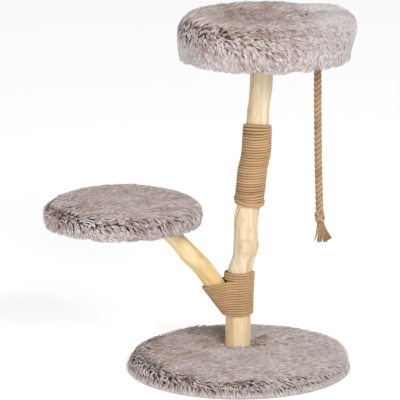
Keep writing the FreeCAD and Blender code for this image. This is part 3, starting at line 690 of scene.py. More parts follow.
def foot_comb(spots, faces):
    away = unit(spots * (1, 1, 0))
    far = norms(spots[:, :2])
    left = (held((-0.13 - spots[:, 0]) / 0.06) * held((far - 0.190) / 0.03))[:, None]
    over = np.array([1.0, 0.0, 0.0]) * (1 - left) + np.array([0.5, -0.8, 0.0]) * left
    hang = away * 0.35 + np.array([0.15, 0.0, -1.0])
    hang = hang * (1 - 0.6 * left) + np.array([0.0, -0.6, -0.2]) * left
    rim = held((far + ragged(spots) - 0.218) / 0.030)[:, None]
    stem = np.append(pole_foot[:2], 0.0) - spots * (1, 1, 0)
    near = hill((norms(stem) - pole_foot[2]) / 0.016)[:, None]
    return over * (1 - rim) * (1 - near) + hang * rim + (unit(stem) + 0.4 * over) * near


def crown(faces, side, top):
    """A measure of the pile that changes from the side's value to the top's over the rounded edge."""
    return side + (top - side) * held((faces[:, 2] - 0.05) / 0.85)


def foot_right(spots):
    """1 at the foot's right, falling to 0 at its middle and at its front."""
    return held(spots[:, 0] / 0.2) * held(spots[:, 1] / 0.1 + 1)


def foot_rise(spots, faces):
    stem = apart(spots, pole_foot) - pole_foot[2]
    near = hill(stem / 0.030) * (1.6 * np.abs(ragged(spots * 3)) / 0.004 - 1.7)
    top = 0.0175 + 0.003 * np.clip(near, -1.7, 1.5) + 0.0045 * foot_right(spots)
    return crown(faces, 0.0090 + 0.0025 * spots[:, 0] / 0.24, top)


# Partings in the pile round the stump, where its tone is also darkened as painted shade: X, Y, how wide,
# and how much darker.
shaded_partings = [(-0.045, 0.12, 0.030, 0.30), (-0.055, 0.18, 0.03, 0.25), (0.042, 0.110, 0.024, 0.44),
               (-0.03, 0.04, 0.02, 0.2), (0.050, 0.062, 0.018, 0.34), (0.088, 0.060, 0.016, 0.29),
               (-0.085, 0.075, 0.020, 0.20)]


def foot_tone_and_painted_light(spots, faces):
    rim = held((norms(spots) - 0.225) / 0.02)
    right = spots[:, 0] / 0.25
    # painted light: the pile is paler towards the lit right, and the rim is paler again, most at its far
    # left and far right, to offset how the light falls on it
    tone = 0.63 + 0.11 * right + rim * (0.16 - 0.02 * right + 0.17 * right ** 2)
    # painted shade: the pile is darkened at the partings round the stump
    for x, y, wide, drop in shaded_partings:
        tone -= drop * hill_at(spots, x, y, wide)
    return tone


def foot_fit(points):
    """Keeps the pile off the floor and round the stump."""
    right = foot_right(points)
    reach = foot_high.x - 0.002 - 0.003 * (1 - right) * held(points[:, 2] / 0.03)
    points = drawn_in(points, (0.0, 0.0), reach, board_high.z, 0.45 - 0.35 * right)
    skirt = 1 + 0.045 * held(1 - points[:, 2] / 0.012) * (np.hypot(*points.T[:2]) > board_reach)
    points[:, :2] *= np.minimum(skirt, 1.03)[:, None]
    points[:, 2] = np.maximum(points[:, 2], 0.0007)
    away = points[:, :2] - pole_foot[:2]
    far = np.maximum(norms(away), 1e-6)
    points[:, :2] += away * (np.maximum(pole_foot[2] + 0.0015 - far, 0) / far)[:, None]
    return points


def foot_open(spots):
    """Where the tufts stand apart: round the rim, most at the front left, and in a ring on top."""
    front = hill((spots[:, 0] + 0.08) / 0.10) * (spots[:, 1] < 0)
    patchy = held(0.5 + ragged(spots * 0.6) / 0.008)
    rim = held((norms(spots) - 0.2) / 0.03)
    stem = apart(spots, pole_foot)
    trodden = hill((stem - 0.075) / 0.025) * held(0.5 + ragged(spots * 1.3) / 0.006)
    parted = np.zeros(len(spots))
    for x, y, wide, drop in shaded_partings:
        parted = np.maximum(parted, 3 * drop * hill_at(spots, x, y, 0.8 * wide))
    return rim * (0.2 + (0.2 + 0.5 * front) * patchy) + (1 - rim) * np.maximum(
        0.36 * patchy + 0.5 * trodden, np.minimum(parted, 1))


foot_profile = [(board_reach + 0.0012, 0.0025), (board_reach + 0.0018, 0.006),
                (board_reach + 0.0018, 0.018), (board_reach - 0.001, 0.0225),
                (board_reach - 0.008, 0.0232), (0.001, 0.0232)]
foot_fur = furred(["foot_fur_a", "foot_fur_b", "foot_fur_c"], (0, 0, 0), foot_profile, 45000, foot_comb,
                  foot_rise, lambda spots, faces: 0.027, foot_tone_and_painted_light, 21, lambda spots: 0.0008, foot_fit,
                  foot_open)
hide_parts("base_plush_cover")

felt = Finish("dense_felt", Roughness=0.95)
nap = felt.noise(felt.place(), 700.0, 5.0, 0.7)
felt.paint(nap, (0.3, 52, 48, 46), (0.7, 92, 86, 82))
felt.relief(0.6, 0.0008, nap)


def cloth_disc(name, x, y, radius, low, high, holes, finish):
    """A disc of cloth cut out with the holes (X, Y, radius) that things pass through."""
    bpy.ops.object.select_all(action="DESELECT")
    bpy.ops.mesh.primitive_circle_add(vertices=96, radius=radius, fill_type="NGON",
                                      location=(x, y, low))
    disc = opened(name)
    bpy.ops.mesh.extrude_region_move(TRANSFORM_OT_translate={"value": (0, 0, high - low)})
    bpy.ops.mesh.inset(thickness=(high - low) * 0.4, depth=0.0)
    closed()
    for hole_x, hole_y, hole_radius in holes:
        bpy.ops.object.select_all(action="DESELECT")
        bpy.ops.mesh.primitive_cylinder_add(vertices=48, radius=hole_radius, depth=0.05,
                                            location=(hole_x, hole_y, (low + high) / 2))
        punch = bpy.context.object
        bpy.context.view_layer.objects.active = disc
        modified(disc, "BOOLEAN", operation="DIFFERENCE", object=punch)
        bpy.data.objects.remove(punch)
    return dressed(disc, finish)


felt_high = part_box("base_underfelt")[1]
foot_felt = cloth_disc("foot_felt", 0, 0, felt_high.x, 0.0001, felt_high.z, [
    (0, 0.055, 0.012)], felt)
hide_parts("base_underfelt")


# ---------------------------------------------------------------- pole
# Two peeled lengths of a naturally grown stem, end to end on a steel stud. The bark is off, the
# knots are left as low bumps, and a drying crack runs down the upper length's left side.

def peeled(name, pale, cream, warm, shade, lean=(0.0, 0.0, 0.0)):
    """Peeled, smoothed wood whose grain runs along a bar that the lean stands upright."""
    wood = Finish(name, Roughness=0.5, Specular_IOR_Level=0.5)
    upright = wood.node("ShaderNodeMapping", {}, {"Vector": wood.place(), "Rotation": lean})
    drawn = wood.stretched(upright, (1.0, 1.0, 0.075))
    streak = wood.noise(drawn, 62.0, 4.0, 0.6)
    cloud = wood.noise(wood.stretched(upright, (1.0, 1.0, 0.3)), 30.0, 3.0, 0.55)
    line = wood.noise(drawn, 260.0, 2.0, 0.5)
    colour = wood.ramp(streak * 0.55 + cloud * 0.35 + line * 0.1, (0.34, *shade), (0.44, *warm),
                       (0.52, *cream), (0.63, *pale))
    mark = wood.node("ShaderNodeAttribute", {"attribute_name": "mark"}, {}, 2)
    wood.feed("Base Color", wood.node("ShaderNodeMix", {"data_type": "RGBA", "blend_type": "MIX"}, {
        "Factor": mark, 6: colour, 7: tint(156, 98, 50)}, 2))
    wood.relief(0.25, 0.0012, line * 0.5 + streak)
    return wood


def rings_between(levels, gap):
    """Levels about one gap apart, with a close pair at both ends to keep the ends square."""
    low, high = levels[0][0], levels[-1][0]
    close = 0.0015
    heights = np.concatenate([[low, low + close], np.arange(low + gap, high - gap / 2, gap),
                              [high - close, high]])
    return np.stack([heights, *at_height(levels, heights, 1, 2, 3, 4)], axis=1)


def grown_bar(name, wood, gap, levels, sides, bumps, crack=None):
    """A bar extruded ring by ring, smoothed, then given its bumps.

    A bump has its angle and height, its width and rise, and the strength and radius of its stain;
    a crack has the heights and angles that it runs through, and its depth.
    """
    rings = rings_between(levels, gap)
    bpy.ops.object.select_all(action="DESELECT")
    bpy.ops.mesh.primitive_circle_add(vertices=sides, radius=1.0, fill_type="NGON")
    bar = opened(name + "_wood")
    for _ in rings[1:]:
        bpy.ops.mesh.extrude_region_move(TRANSFORM_OT_translate={"value": (0, 0, 1.0)})
    closed()
    for vertex in bar.data.vertices:
        height, x, y, wide, deep = rings[round(vertex.co.z)]
        vertex.co = (x + wide * vertex.co.x, y + deep * vertex.co.y, height)
    modified(bar, "SUBSURF", levels=2, render_levels=2)
    spots = np.array([vertex.co for vertex in bar.data.vertices])
    out = spots[:, :2] - np.stack(at_height(rings, spots[:, 2], 1, 2), axis=1)
    far = norms(out)
    angle = np.degrees(np.arctan2(out[:, 1], out[:, 0])) % 360
    rise = np.array([noise.fractal(Vector((x * 34, y * 34, z * 11)), 0.8, 2.1, 3) for x, y, z in spots])
    rise *= 0.0006           # the wood's own unevenness
    mark = np.zeros(len(spots))
    for bump_angle, bump_height, wide, high, stain, line in bumps:
        arc = np.radians((angle - bump_angle + 180) % 360 - 180) * far
        off = np.hypot(arc, (spots[:, 2] - bump_height) * 0.75)
        rise += high * hill(off / wide)
        off *= 1 + 0.5 * rough(spots, 110.0)
        mark = np.maximum(mark, stain * hill((off - line) / (wide * 0.33)))
    if crack is not None:
        heights, angles, depth = crack
        arc = np.radians((angle - np.interp(spots[:, 2], heights, angles) + 180) % 360 - 180) * far
        closing = 0.012          # length over which the crack closes at both ends
        inside = held((spots[:, 2] - heights[0]) / closing)
        inside *= held((heights[-1] - spots[:, 2]) / closing)
        rise -= depth * inside * hill(arc / 0.0016)
        rise += depth * 0.5 * inside * hill((arc + 0.0042) / 0.003)      # its raised lip
        mark = np.maximum(mark, 0.85 * inside * hill(arc / 0.0013))
    rise *= far > 0.012      # the cut ends stay flat
    spots[:, :2] += out / np.maximum(far, 0.001)[:, None] * rise[:, None]
    bar.data.vertices.foreach_set("co", spots.astype(np.float32).ravel())
    bar.data.attributes.new("mark", "FLOAT", "POINT").data.foreach_set(
        "value", mark.astype(np.float32))
    bar.data.shade_smooth()
    dressed(bar, wood)
    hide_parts(name)


pole_wood = peeled("peeled_pole", (234, 220, 194), (224, 205, 172), (212, 184, 144),
                   (188, 152, 108))
# The stump's wood has its own colours, which are also made paler as painted light against the shade
# under the lower lashing.
stump_wood = peeled("peeled_stump", (244, 224, 184), (236, 208, 164), (222, 186, 136),
                    (190, 148, 98))
grown_bar("upper_trunk", pole_wood, 0.014, levels_of("upper_trunk"), 30, [
    (272, 0.279, 0.012, 0.0014, 0.20, 0.013), (249, 0.279, 0.009, 0.0004, 0.60, 0.0),
    (336, 0.281, 0.010, 0.0024, 0.9, 0.0), (300, 0.256, 0.010, 0.0008, 0.16, 0.0),
    (290, 0.322, 0.014, 0.0009, 0.14, 0.0), (255, 0.668, 0.012, 0.0012, 0.14, 0.0),
    (262, 0.343, 0.008, 0.0004, 0.26, 0.0), (222, 0.655, 0.010, 0.0008, 0.30, 0.0),
    (216, 0.600, 0.014, 0.0006, 0.34, 0.0), (255, 0.585, 0.007, 0.0004, 0.30, 0.0),
    (95, 0.330, 0.011, 0.0022, 0.6, 0.0), (60, 0.640, 0.010, 0.0018, 0.5, 0.0),
    (170, 0.600, 0.009, 0.0014, 0.4, 0.0)],
    (np.array([0.285, 0.318, 0.345, 0.376]), np.array([204.0, 207.0, 213.0, 222.0]), 0.0024))
grown_bar("lower_trunk", stump_wood, 0.012, levels_of("lower_trunk"), 30, [
    (300, 0.070, 0.012, 0.0008, 0.12, 0.0), (120, 0.080, 0.012, 0.0020, 0.6, 0.0)])


# ---------------------------------------------------------------- side branch
# The stem's own side branch, peeled like it. Its foot is notched round the pole under the lashing,
# and its upper end carries the platform. Half way up it swells where a twig was cut away.

branch_levels = levels_of("side_branch")
branch_levels = branch_levels[branch_levels[:, 0] > 0.2]
foot_height = 0.13       # where the branch's middle nears the pole's
slope = (branch_levels[1] - branch_levels[0]) / (branch_levels[1][0] - branch_levels[0][0])
branch_foot = branch_levels[0] + slope * (foot_height - branch_levels[0][0])
branch_foot[3:] = branch_levels[0][3:] * 0.92
branch_levels = np.vstack([branch_foot, branch_levels])
rise = Vector((branch_levels[-1] - branch_levels[0])[[1, 2, 0]])
branch_lean = rise.rotation_difference(Vector((0, 0, 1))).to_euler()
branch_wood = peeled("peeled_branch", (238, 221, 182), (233, 209, 160), (226, 192, 134),
                     (208, 162, 100), tuple(branch_lean))
grown_bar("side_branch", branch_wood, 0.012, branch_levels, 28, [
    (330, 0.252, 0.011, 0.0012, 0.15, 0.006), (290, 0.236, 0.009, 0.0008, 0.15, 0.005),
    (200, 0.225, 0.010, 0.0012, 0.1, 0.0), (100, 0.290, 0.011, 0.0020, 0.6, 0.0)])


# ---------------------------------------------------------------- lashings
# Twisted natural cord, 6 mm thick, wound tight: one band round the pole, and one that first binds
# the pole and the branch's foot together, then the pole alone. Tacks hold the ends at the back.

cord_radius = 0.003
cord_lay = 0.0115        # one full turn of a ply
# The cord's first ramp is painted shade: dark in the grooves between plies and on the side against the
# bar, pale on the crests.
twine = spun("lashing_cord", [
    (0.0, 86, 58, 35), (0.35, 153, 117, 80), (0.7, 198, 163, 121), (1.0, 222, 190, 149)], [
    (0.0, 206, 190, 176), (0.5, 240, 234, 228), (1.0, 255, 248, 240)],
    Roughness=0.85, Sheen_Weight=0.1)


def wound(name, line, middle_of, seed, paler=0.0):
    """Three-ply cord along a line of turns; middle_of gives the bar's middle by height."""
    chance = np.random.default_rng(seed)
    spots, marks = evenly(line, 0.0017)
    # slow changes of thickness and tone along the cord
    drift = np.interp(marks, np.linspace(0, marks[-1], 160), chance.normal(0, 1, 160))[:, None]
    turn = turned(12)
    ply = np.cos(3 * (turn - marks[:, None] * math.tau / cord_lay))
    reach = cord_radius * (0.99 + 0.02 * drift) * (1 + 0.14 * ply)
    outward = unit(spots - middle_of(spots))
    away = (square_to(spots, turn) * outward[:, None]).sum(-1)
    tone = np.clip(0.55 + paler + 0.20 * drift, 0.02, 0.98)
    # painted shade: V is lowest on the side that faces the bar and between the plies
    piece = mesh_piece(name + "_cord", [swept(
        spots, reach, shaded(tone, 0.40 + 0.36 * away + 0.26 * ply))], twine)
    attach(piece, "stand")
    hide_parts(name)


band = levels_of("upper_lashing")
pole_levels = np.vstack([levels_of("lower_trunk"), levels_of("upper_trunk")])
pole_levels = pole_levels[np.argsort(pole_levels[:, 0], kind="stable")]


def pole_middle(spots):
    """The pole's middle at each point's height."""
    return np.stack([*at_height(pole_levels, spots[:, 2], 1, 2), spots[:, 2]], axis=1)


band_low, band_high = band[0][0], band[-1][0]
band_turns = (band_high - band_low) / (2 * cord_radius)
over_turns = 2.6         # turns wound back over the lowest ones, to hide the start
stepped = 1.6            # radians over which the cord steps up onto those turns
loose = 1.022            # the distance between turns, in cord thicknesses
cord_end = math.radians(352)
front_left = math.radians(352 - 240)
chance = np.random.default_rng(7)
turning = np.arange(-over_turns * math.tau, (band_turns - 1) * math.tau, 0.06)
wander = np.interp(turning, np.arange(-20, 230, 2.1), chance.normal(0, 0.00032, 120))
height = band_low + cord_radius + np.maximum(turning, 0) * cord_radius * loose / math.pi + wander
back = held(-turning / stepped)
height = height + back * (0.004 + 0.0022 * np.maximum(-turning - stepped, 0) / math.pi)
heading = turning - turning[-1] + cord_end
slant = 0.0055 * held(1 - turning / 26)      # of the lowest turns, lost in the first 26 radians
height = height - slant * np.cos(heading)
lifted = 0.0062 * held((turning - turning[-1]) / 20 + 1)      # of the top turns
height = height + lifted * np.cos(turning - turning[-1] + front_left)
spot_x, spot_y, spot_r = at_height(band, height, 1, 2, 3)
out = spot_r - cord_radius + back * 0.0022
wound("upper_lashing", np.stack([spot_x + out * np.cos(heading), spot_y + out * np.sin(heading),
                                 height], axis=1), pole_middle, 8)

def on_circle(x, y, radius, angle):
    return np.array([x + radius * math.cos(angle), y + radius * math.sin(angle)])


fork = np.array([vertex.co for vertex in frame["nodes"]["lower_lashing"].data.vertices])
fork_low = fork[:, 2].min()
fork_high = 0.196        # at the pole; the turns dip towards the branch
seen_at = 0.190          # the height at which the branch's outer side is taken for the top turn
collar_high = fork[:, 2].max()
low_reach = fork[fork[:, 2] < fork_low + 0.0005][:, 0].min() + cord_radius
high_reach = np.interp(seen_at, branch_levels[:, 0], branch_levels[:, 1] - branch_levels[:, 3])
far_radius = 0.024       # of the turns' bend round the branch
rows = []
fork_turns = (fork_high - fork_low) / (2 * cord_radius)
collar_turns = (collar_high - fork_high) / (2 * cord_radius)
steps = 90               # points in one turn
first_turn = 0.12        # the share of the first turn that the lower end leaves out
for i in range(int(first_turn * steps), int((fork_turns + collar_turns - 1) * steps)):
    done = i / steps
    level = fork_low + cord_radius + 2 * cord_radius * done
    pole_x, pole_y, pole_r = at_height(pole_levels, level, 1, 2, 3)
    near = pole_r + cord_radius
    climb = min(done / fork_turns, 1.0)
    far_x = low_reach + (high_reach - low_reach) * climb + far_radius
    far_y = pole_y + (at_height(branch_levels, 0.20, 2)[0] - pole_y) * climb
    if done > fork_turns:
        far_x, far_y = pole_x - near * 0.3, pole_y
    run = max(math.hypot(far_x - pole_x, far_y - pole_y), near - far_radius + 1e-5)
    heading = math.atan2(far_y - pole_y, far_x - pole_x)
    lean = math.acos(min(1.0, (near - far_radius) / run))
    straight = math.sqrt(max(0.0, run ** 2 - (near - far_radius) ** 2))
    lengths = np.array([near * (math.pi - lean), straight, far_radius * 2 * lean, straight,
                        near * (math.pi - lean)])
    gone = (done % 1) * lengths.sum()
    ends = np.cumsum(lengths)
    part = min(int(np.searchsorted(ends, gone, side="right")), 4)
    inside = gone - np.concatenate([[0], ends])[part]
    corners = [heading + math.pi, heading - lean + math.tau, heading - lean, heading + lean]
    pole_spot = lambda angle: on_circle(pole_x, pole_y, near, angle)
    far_spot = lambda angle: on_circle(far_x, far_y, far_radius, angle)
    if part == 0:
        spot = pole_spot(corners[0] + inside / near)
    elif part == 1:
        spot = pole_spot(corners[1]) + (far_spot(corners[2]) - pole_spot(corners[1])) * inside / straight
    elif part == 2:
        spot = far_spot(corners[2] + inside / far_radius)
    elif part == 3:
        spot = far_spot(corners[3]) + (pole_spot(corners[3]) - far_spot(corners[3])) * inside / straight
    else:
        spot = pole_spot(corners[3] + inside / near)
    away = (pole_x - spot[0]) / (pole_x - far_x + far_radius)
    behind = held((spot[1] - pole_y) / near) * held(away / 0.35)
    # the turns dip towards the branch, and behind
    dip = climb * (0.016 * held((away - 0.3) / 0.7) + 0.009 * behind)
    rows.append([*spot, level - dip * (done <= fork_turns)])
rows = np.array(rows)
fork_x, fork_y = -0.012, 0.047      # the middle between pole and branch
wound("lower_lashing", rows, lambda spots: np.stack([
    np.full(len(spots), fork_x), np.full(len(spots), fork_y), spots[:, 2]], axis=1), 9, 0.2)


# ---------------------------------------------------------------- hardware in the stand
# The two pole lengths meet on a stud, the branch is held to the pole and to its board by screws,
# and small tacks pin the ends of both lashings at the back.

finished(zinc, "trunk_stud", "branch_screws", "lashing_tacks")


# ---------------------------------------------------------------- platform
# A round of plywood with a sheet of foam, screwed down onto the branch. The same plush is pulled
# over both and stapled below, and a thin cloth disc hides the staples.

mid_low, mid_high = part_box("mid_plush_cover")
mid_middle = np.array([(mid_low.x + mid_high.x) / 2, (mid_low.y + mid_high.y) / 2, 0.0])
mid_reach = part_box("mid_board")[1].x - mid_middle[0]
foam_low, foam_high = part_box("mid_foam")
finished(ply, "mid_board")
finished(zinc, "mid_screws", "mid_staples")

filling = Finish("soft_filling", Roughness=0.9)
cells = filling.node("ShaderNodeTexVoronoi", {}, {"Vector": filling.place(), "Scale": 600.0})
filling.paint(cells, (0.1, 206, 198, 180), (0.6, 236, 230, 216))
filling.relief(0.5, 0.0008, cells)

woven = Finish("thin_woven_cloth", Roughness=0.95)
where = woven.place()
warp, weft = [woven.node("ShaderNodeTexWave", {"bands_direction": run}, {
    "Vector": where, "Scale": 260.0}) for run in ("X", "Y")]
threads = (warp + weft) * 0.5
slub = woven.noise(where, 160.0, 3.0, 0.6)
woven.paint(threads * 0.6 + slub * 0.4, (0.2, 96, 86, 78), (0.8, 150, 138, 128))
woven.relief(0.5, 0.0004, threads)


def soft_round(name, x, y, radius, low, high):
    """A round pad: an upright-sided disc, rounded at its edges and a little crowned."""
    bpy.ops.object.select_all(action="DESELECT")
    bpy.ops.mesh.primitive_cylinder_add(vertices=48, radius=radius, depth=high - low,
                                        location=(x, y, (low + high) / 2))
    pad = opened(name)
    bpy.ops.mesh.bevel(offset=(high - low) * 0.3, segments=3, affect="EDGES")
    bpy.ops.mesh.select_all(action="DESELECT")
    bpy.ops.object.mode_set(mode="OBJECT")
    for face in pad.data.polygons:
        face.select = abs(face.normal.z) > 0.99 and len(face.vertices) > 20
    bpy.ops.object.mode_set(mode="EDIT")
    bpy.ops.mesh.inset(thickness=radius * 0.3)
    bpy.ops.mesh.inset(thickness=radius * 0.35)
    bpy.ops.object.mode_set(mode="OBJECT")
    for vertex in pad.data.vertices:
        far = math.hypot(vertex.co.x - x, vertex.co.y - y) / radius
        if vertex.co.z > (low + high) / 2:
            vertex.co.z -= (high - low) * 0.12 * far ** 2
    pad.data.shade_smooth()
    dressed(pad, filling)
    return pad


platform_foam = soft_round("platform_foam", mid_middle[0], mid_middle[1], mid_reach - 0.0005,
                           foam_low.z + 0.0002, foam_high.z - 0.0004)
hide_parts("mid_foam")
under_low, under_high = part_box("mid_undercloth")
under_radius = (under_high.x - under_low.x) / 2
platform_tuck = under_radius + 0.0004
platform_cloth = cloth_disc("platform_undercloth", mid_middle[0], mid_middle[1], under_radius,
                            under_low.z, under_high.z - 0.0002, [], woven)
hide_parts("mid_undercloth")

platform_cover = pulled_cover("platform_plush_backing", [
    (mid_middle[0], mid_middle[1], radius, height) for radius, height in (
        (platform_tuck, mid_low.z + 0.0012), (mid_reach - 0.003, mid_low.z + 0.0012),
        (mid_reach + 0.0004, mid_low.z + 0.0030), (mid_reach + 0.0006, mid_low.z + 0.008),
        (mid_reach + 0.0006, foam_high.z - 0.008), (mid_reach - 0.0004, foam_high.z - 0.003),
        (mid_reach - 0.004, foam_high.z + 0.0002), (mid_reach - 0.010, foam_high.z + 0.0006),
        (0.09, foam_high.z + 0.0006), (0.03, foam_high.z + 0.0006), (0.001, foam_high.z + 0.0006))])


def notched(spots, deep):
    """How much higher the hanging pile's edge stands in the notches between its round locks."""
    return np.array([deep * math.exp(-9 * abs(value)) for value in rough(spots, (30.0, 30.0, 8.0))])


def platform_comb(spots, faces):
    away = unit((spots - mid_middle) * (1, 1, 0))
    over = np.array([1.0, -0.05, 0.0]) + 0 * spots
    hang = away * 0.3 + np.array([0.16, 0.0, -1.0])
    far = apart(spots, mid_middle) + ragged(spots)
    rim = held((far - mid_reach + 0.018) / 0.024)
    return over * (1 - rim[:, None]) + hang * rim[:, None]


def platform_right(spots):
    """-1 at the platform's left end to 1 at its right."""
    return (spots[:, 0] - mid_middle[0]) / mid_reach


def platform_rim(spots):
    """0 over the platform's top to 1 at its edge."""
    return held((apart(spots, mid_middle) - mid_reach + 0.02) / 0.02)


def platform_rise(spots, faces):
    right = platform_right(spots)
    far = apart(spots, mid_middle) / mid_reach
    sides = held(far - 0.75) / 0.25 * np.abs(right)
    return crown(faces, 0.0095 + 0.001 * right, 0.0205 - (0.007 + 0.003 * (right > 0)) * sides)


def platform_length(spots, faces):
    return crown(faces, 0.029, 0.026)


def platform_tone_and_painted_light(spots, faces):
    right = platform_right(spots)
    # painted light: the pile is paler towards the lit right, and its rim is paler, most on the shaded
    # left
    tone = 0.55 + 0.06 * right + platform_rim(spots) * (0.13 - 0.12 * right)
    return tone - 0.08 * hill_at(spots, -0.36, -0.03, 0.07)


def platform_open(spots):
    """Where the tufts stand apart and show their roots: round the rim and over the left end."""
    left = hill_at(spots, -0.375, -0.04, 0.085)
    return np.maximum(platform_rim(spots) * 0.8, 0.85 * left)


def platform_edge(spots):
    right = np.clip(platform_right(spots), -0.1, 1)
    return mid_low.z - 0.002 + 0.003 * right + notched(spots, 0.008) * (1 - 0.7 * right)


def platform_fit(points):
    reach = mid_high.x - mid_middle[0]
    high = (points[:, 2] - mid_low.z) / (mid_high.z - mid_low.z)
    left = held((mid_middle[0] - points[:, 0]) / reach)
    return drawn_in(points, mid_middle, reach - 0.001 - 0.004 * held(high) * left, foam_high.z)


platform_profile = [(mid_reach + 0.0014, mid_low.z + 0.0035), (mid_reach + 0.0020, mid_low.z + 0.007),
                    (mid_reach + 0.0020, foam_high.z - 0.009),
                    (mid_reach + 0.0004, foam_high.z - 0.002), (mid_reach - 0.010, foam_high.z + 0.002),
                    (0.001, foam_high.z + 0.002)]
platform_fur = furred(["platform_fur_a", "platform_fur_b"], mid_middle, platform_profile, 32000,
                      platform_comb, platform_rise, platform_length, platform_tone_and_painted_light, 22,
                      platform_edge, platform_fit, platform_open)
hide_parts("mid_plush_cover")


# ---------------------------------------------------------------- nest bed
# A plywood round screwed to the pole's top, a fat bolster ring and a pad, all inside one sewn plush
# cover with a hollow in its middle for the cat. The cover is stapled below, over a thin cloth disc.

bed_low, bed_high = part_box("top_plush_cover")
bed_middle = np.array([(bed_low.x + bed_high.x) / 2, (bed_low.y + bed_high.y) / 2, 0.0])
bed_x, bed_y = bed_middle[:2]
bolster_low, bolster_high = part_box("top_bolster")
pad_low, pad_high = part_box("top_pad")
bed_reach = bolster_high.x - bed_x
bolster_inner = 0.1077   # radius of the hole in the bolster
finished(ply, "top_board")
finished(zinc, "top_tee_nut", "top_stud", "top_staples")

bed_pad = soft_round("bed_pad", bed_x, bed_y, pad_high.x - bed_x - 0.0005, pad_low.z + 0.0002,
                     pad_high.z - 0.0004)
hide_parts("top_pad")

ring_radius = (bed_reach - bolster_inner) / 2
ring_middle = (bed_reach + bolster_inner) / 2
bolster_middle = (bolster_low.z + bolster_high.z) / 2
boxy = 3.2               # the bolster's section; 2 would be a plain oval
bpy.ops.object.select_all(action="DESELECT")
bpy.ops.mesh.primitive_torus_add(
    location=(bed_x, bed_y, bolster_middle), major_segments=72, minor_segments=24,
    major_radius=ring_middle, minor_radius=ring_radius)
bolster = bpy.context.object
bolster.name = "bed_bolster"
bpy.ops.object.transform_apply(location=True)
for vertex in bolster.data.vertices:
    angle = math.atan2(vertex.co.y - bed_y, vertex.co.x - bed_x)
    out = math.hypot(vertex.co.y - bed_y, vertex.co.x - bed_x) - ring_middle
    up = vertex.co.z - bolster_middle
    around = math.atan2(up, out)
    squared = (abs(math.cos(around)) ** boxy + abs(math.sin(around)) ** boxy) ** (-1 / boxy)
    puff = 1 - 0.012 * (1 + math.sin(angle * 7 + 1))
    far = ring_middle + ring_radius * squared * puff * math.cos(around)
    up = (bolster_high.z - bolster_low.z) / 2 * squared * puff * math.sin(around)
    vertex.co = (bed_x + far * math.cos(angle), bed_y + far * math.sin(angle), bolster_middle + up)
bolster.data.shade_smooth()
dressed(bolster, filling)
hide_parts("top_bolster")

under_low, under_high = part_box("top_undercloth")
under_radius = (under_high.x - under_low.x) / 2
bed_tuck = under_radius + 0.0004
pole_top_x, pole_top_y = pole_levels[-1][1:3]
bed_cloth = cloth_disc(
    "bed_undercloth", bed_x, bed_y, under_radius, under_low.z, under_high.z - 0.0002,
    [(pole_top_x, pole_top_y, 0.027), (pivot[0], pivot[1], 0.0115)], woven)
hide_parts("top_undercloth")

lid = bolster_high.z + 0.0006
floor_level = pad_high.z + 0.0006
bed_cover = pulled_cover("bed_plush_backing", [
    (bed_x, bed_y, radius, height) for radius, height in (
        (bed_tuck, bed_low.z + 0.0012), (bed_reach - 0.003, bed_low.z + 0.0012),
        (bed_reach + 0.0004, bed_low.z + 0.0030), (bed_reach + 0.0008, bed_low.z + 0.009),
        (bed_reach + 0.0008, lid - 0.030), (bed_reach - 0.002, lid - 0.014),
        (bed_reach - 0.010, lid - 0.004), (bed_reach - 0.022, lid),
        (bolster_inner + 0.016, lid), (bolster_inner + 0.005, lid - 0.004),
        (bolster_inner - 0.0006, lid - 0.014), (bolster_inner - 0.0010, floor_level + 0.006),
        (bolster_inner - 0.004, floor_level + 0.0012), (bolster_inner - 0.012, floor_level),
        (0.04, floor_level), (0.001, floor_level))])

fringe_top = 0.782       # the side's pile is combed round above this, and hangs below it


def in_fringe(spots):
    """0 on the side's combed pile to 1 on the pile that hangs below it."""
    return held((fringe_top - spots[:, 2]) / 0.012)


def bed_comb(spots, faces):
    away = unit((spots - bed_middle) * (1, 1, 0))
    out = held(apart(spots, bed_middle) / bed_reach - 0.7) / 0.3
    over = np.array([1.0, 0.0, 0.0]) + away * (1.1 * out * held(-away[:, 1]))[:, None]
    deep = apart(spots, bed_middle) / bolster_inner
    over += away * (1.5 * held((deep - 0.45) / 0.4) * (deep < 1)
                    * held(0.5 + away[:, 1] / 0.3))[:, None]
    side = np.array([0.85, 0.0, -0.60]) + 0 * spots
    centre = hill((spots[:, 0] - 0.06) / 0.10)
    hang = np.stack([0.10 + 0.35 * centre, 0 * centre, -1 + 0 * centre], axis=1)
    low = in_fringe(spots)[:, None]
    upright = held((0.98 - faces[:, 2]) / 0.8)[:, None]
    inner = (apart(spots, bed_middle) < bolster_inner + 0.006)[:, None]
    wall = side * (1 - low) + hang * low
    wall = np.where(inner, np.array([0.3, 0.0, 0.25]) - 0.8 * away, wall)
    near = over_hollow(spots)[:, None]
    return (over * (1 - upright) + wall * upright) * (1 - near) + np.array([0.45, 0.85, 0.3]) * near


def over_hollow(spots):
    """How far a root belongs to the near rim's pile, which leans in over the hollow."""
    away = spots - bed_middle
    far = norms(away[:, :2])
    front = held((-0.05 - away[:, 1] / np.maximum(far, 1e-6)) / 0.5)
    return front * held((bolster_inner + 0.030 - far) / 0.02) * (spots[:, 2] > lid - 0.020)


def bed_rise(spots, faces):
    away = spots - bed_middle
    far = norms(away[:, :2]) / (bolster_inner - 0.006)
    right, back = away[:, 0] / bed_reach, held(away[:, 1] / bed_reach)
    lift = 0.0165 + 0.004 * right + back * (
        0.018 * hill((right - 0.90) / 0.26) - 0.003 - 0.004 * hill((right - 0.35) / 0.2))
    top = np.where(far < 1, 0.027 - 0.006 * far ** 2, lift)
    return crown(faces, 0.0135 - 0.003 * in_fringe(spots), top) + 0.012 * over_hollow(spots)


def bed_length(spots, faces):
    return crown(faces, 0.024 + 0.010 * in_fringe(spots), 0.027) + 0.034 * over_hollow(spots)


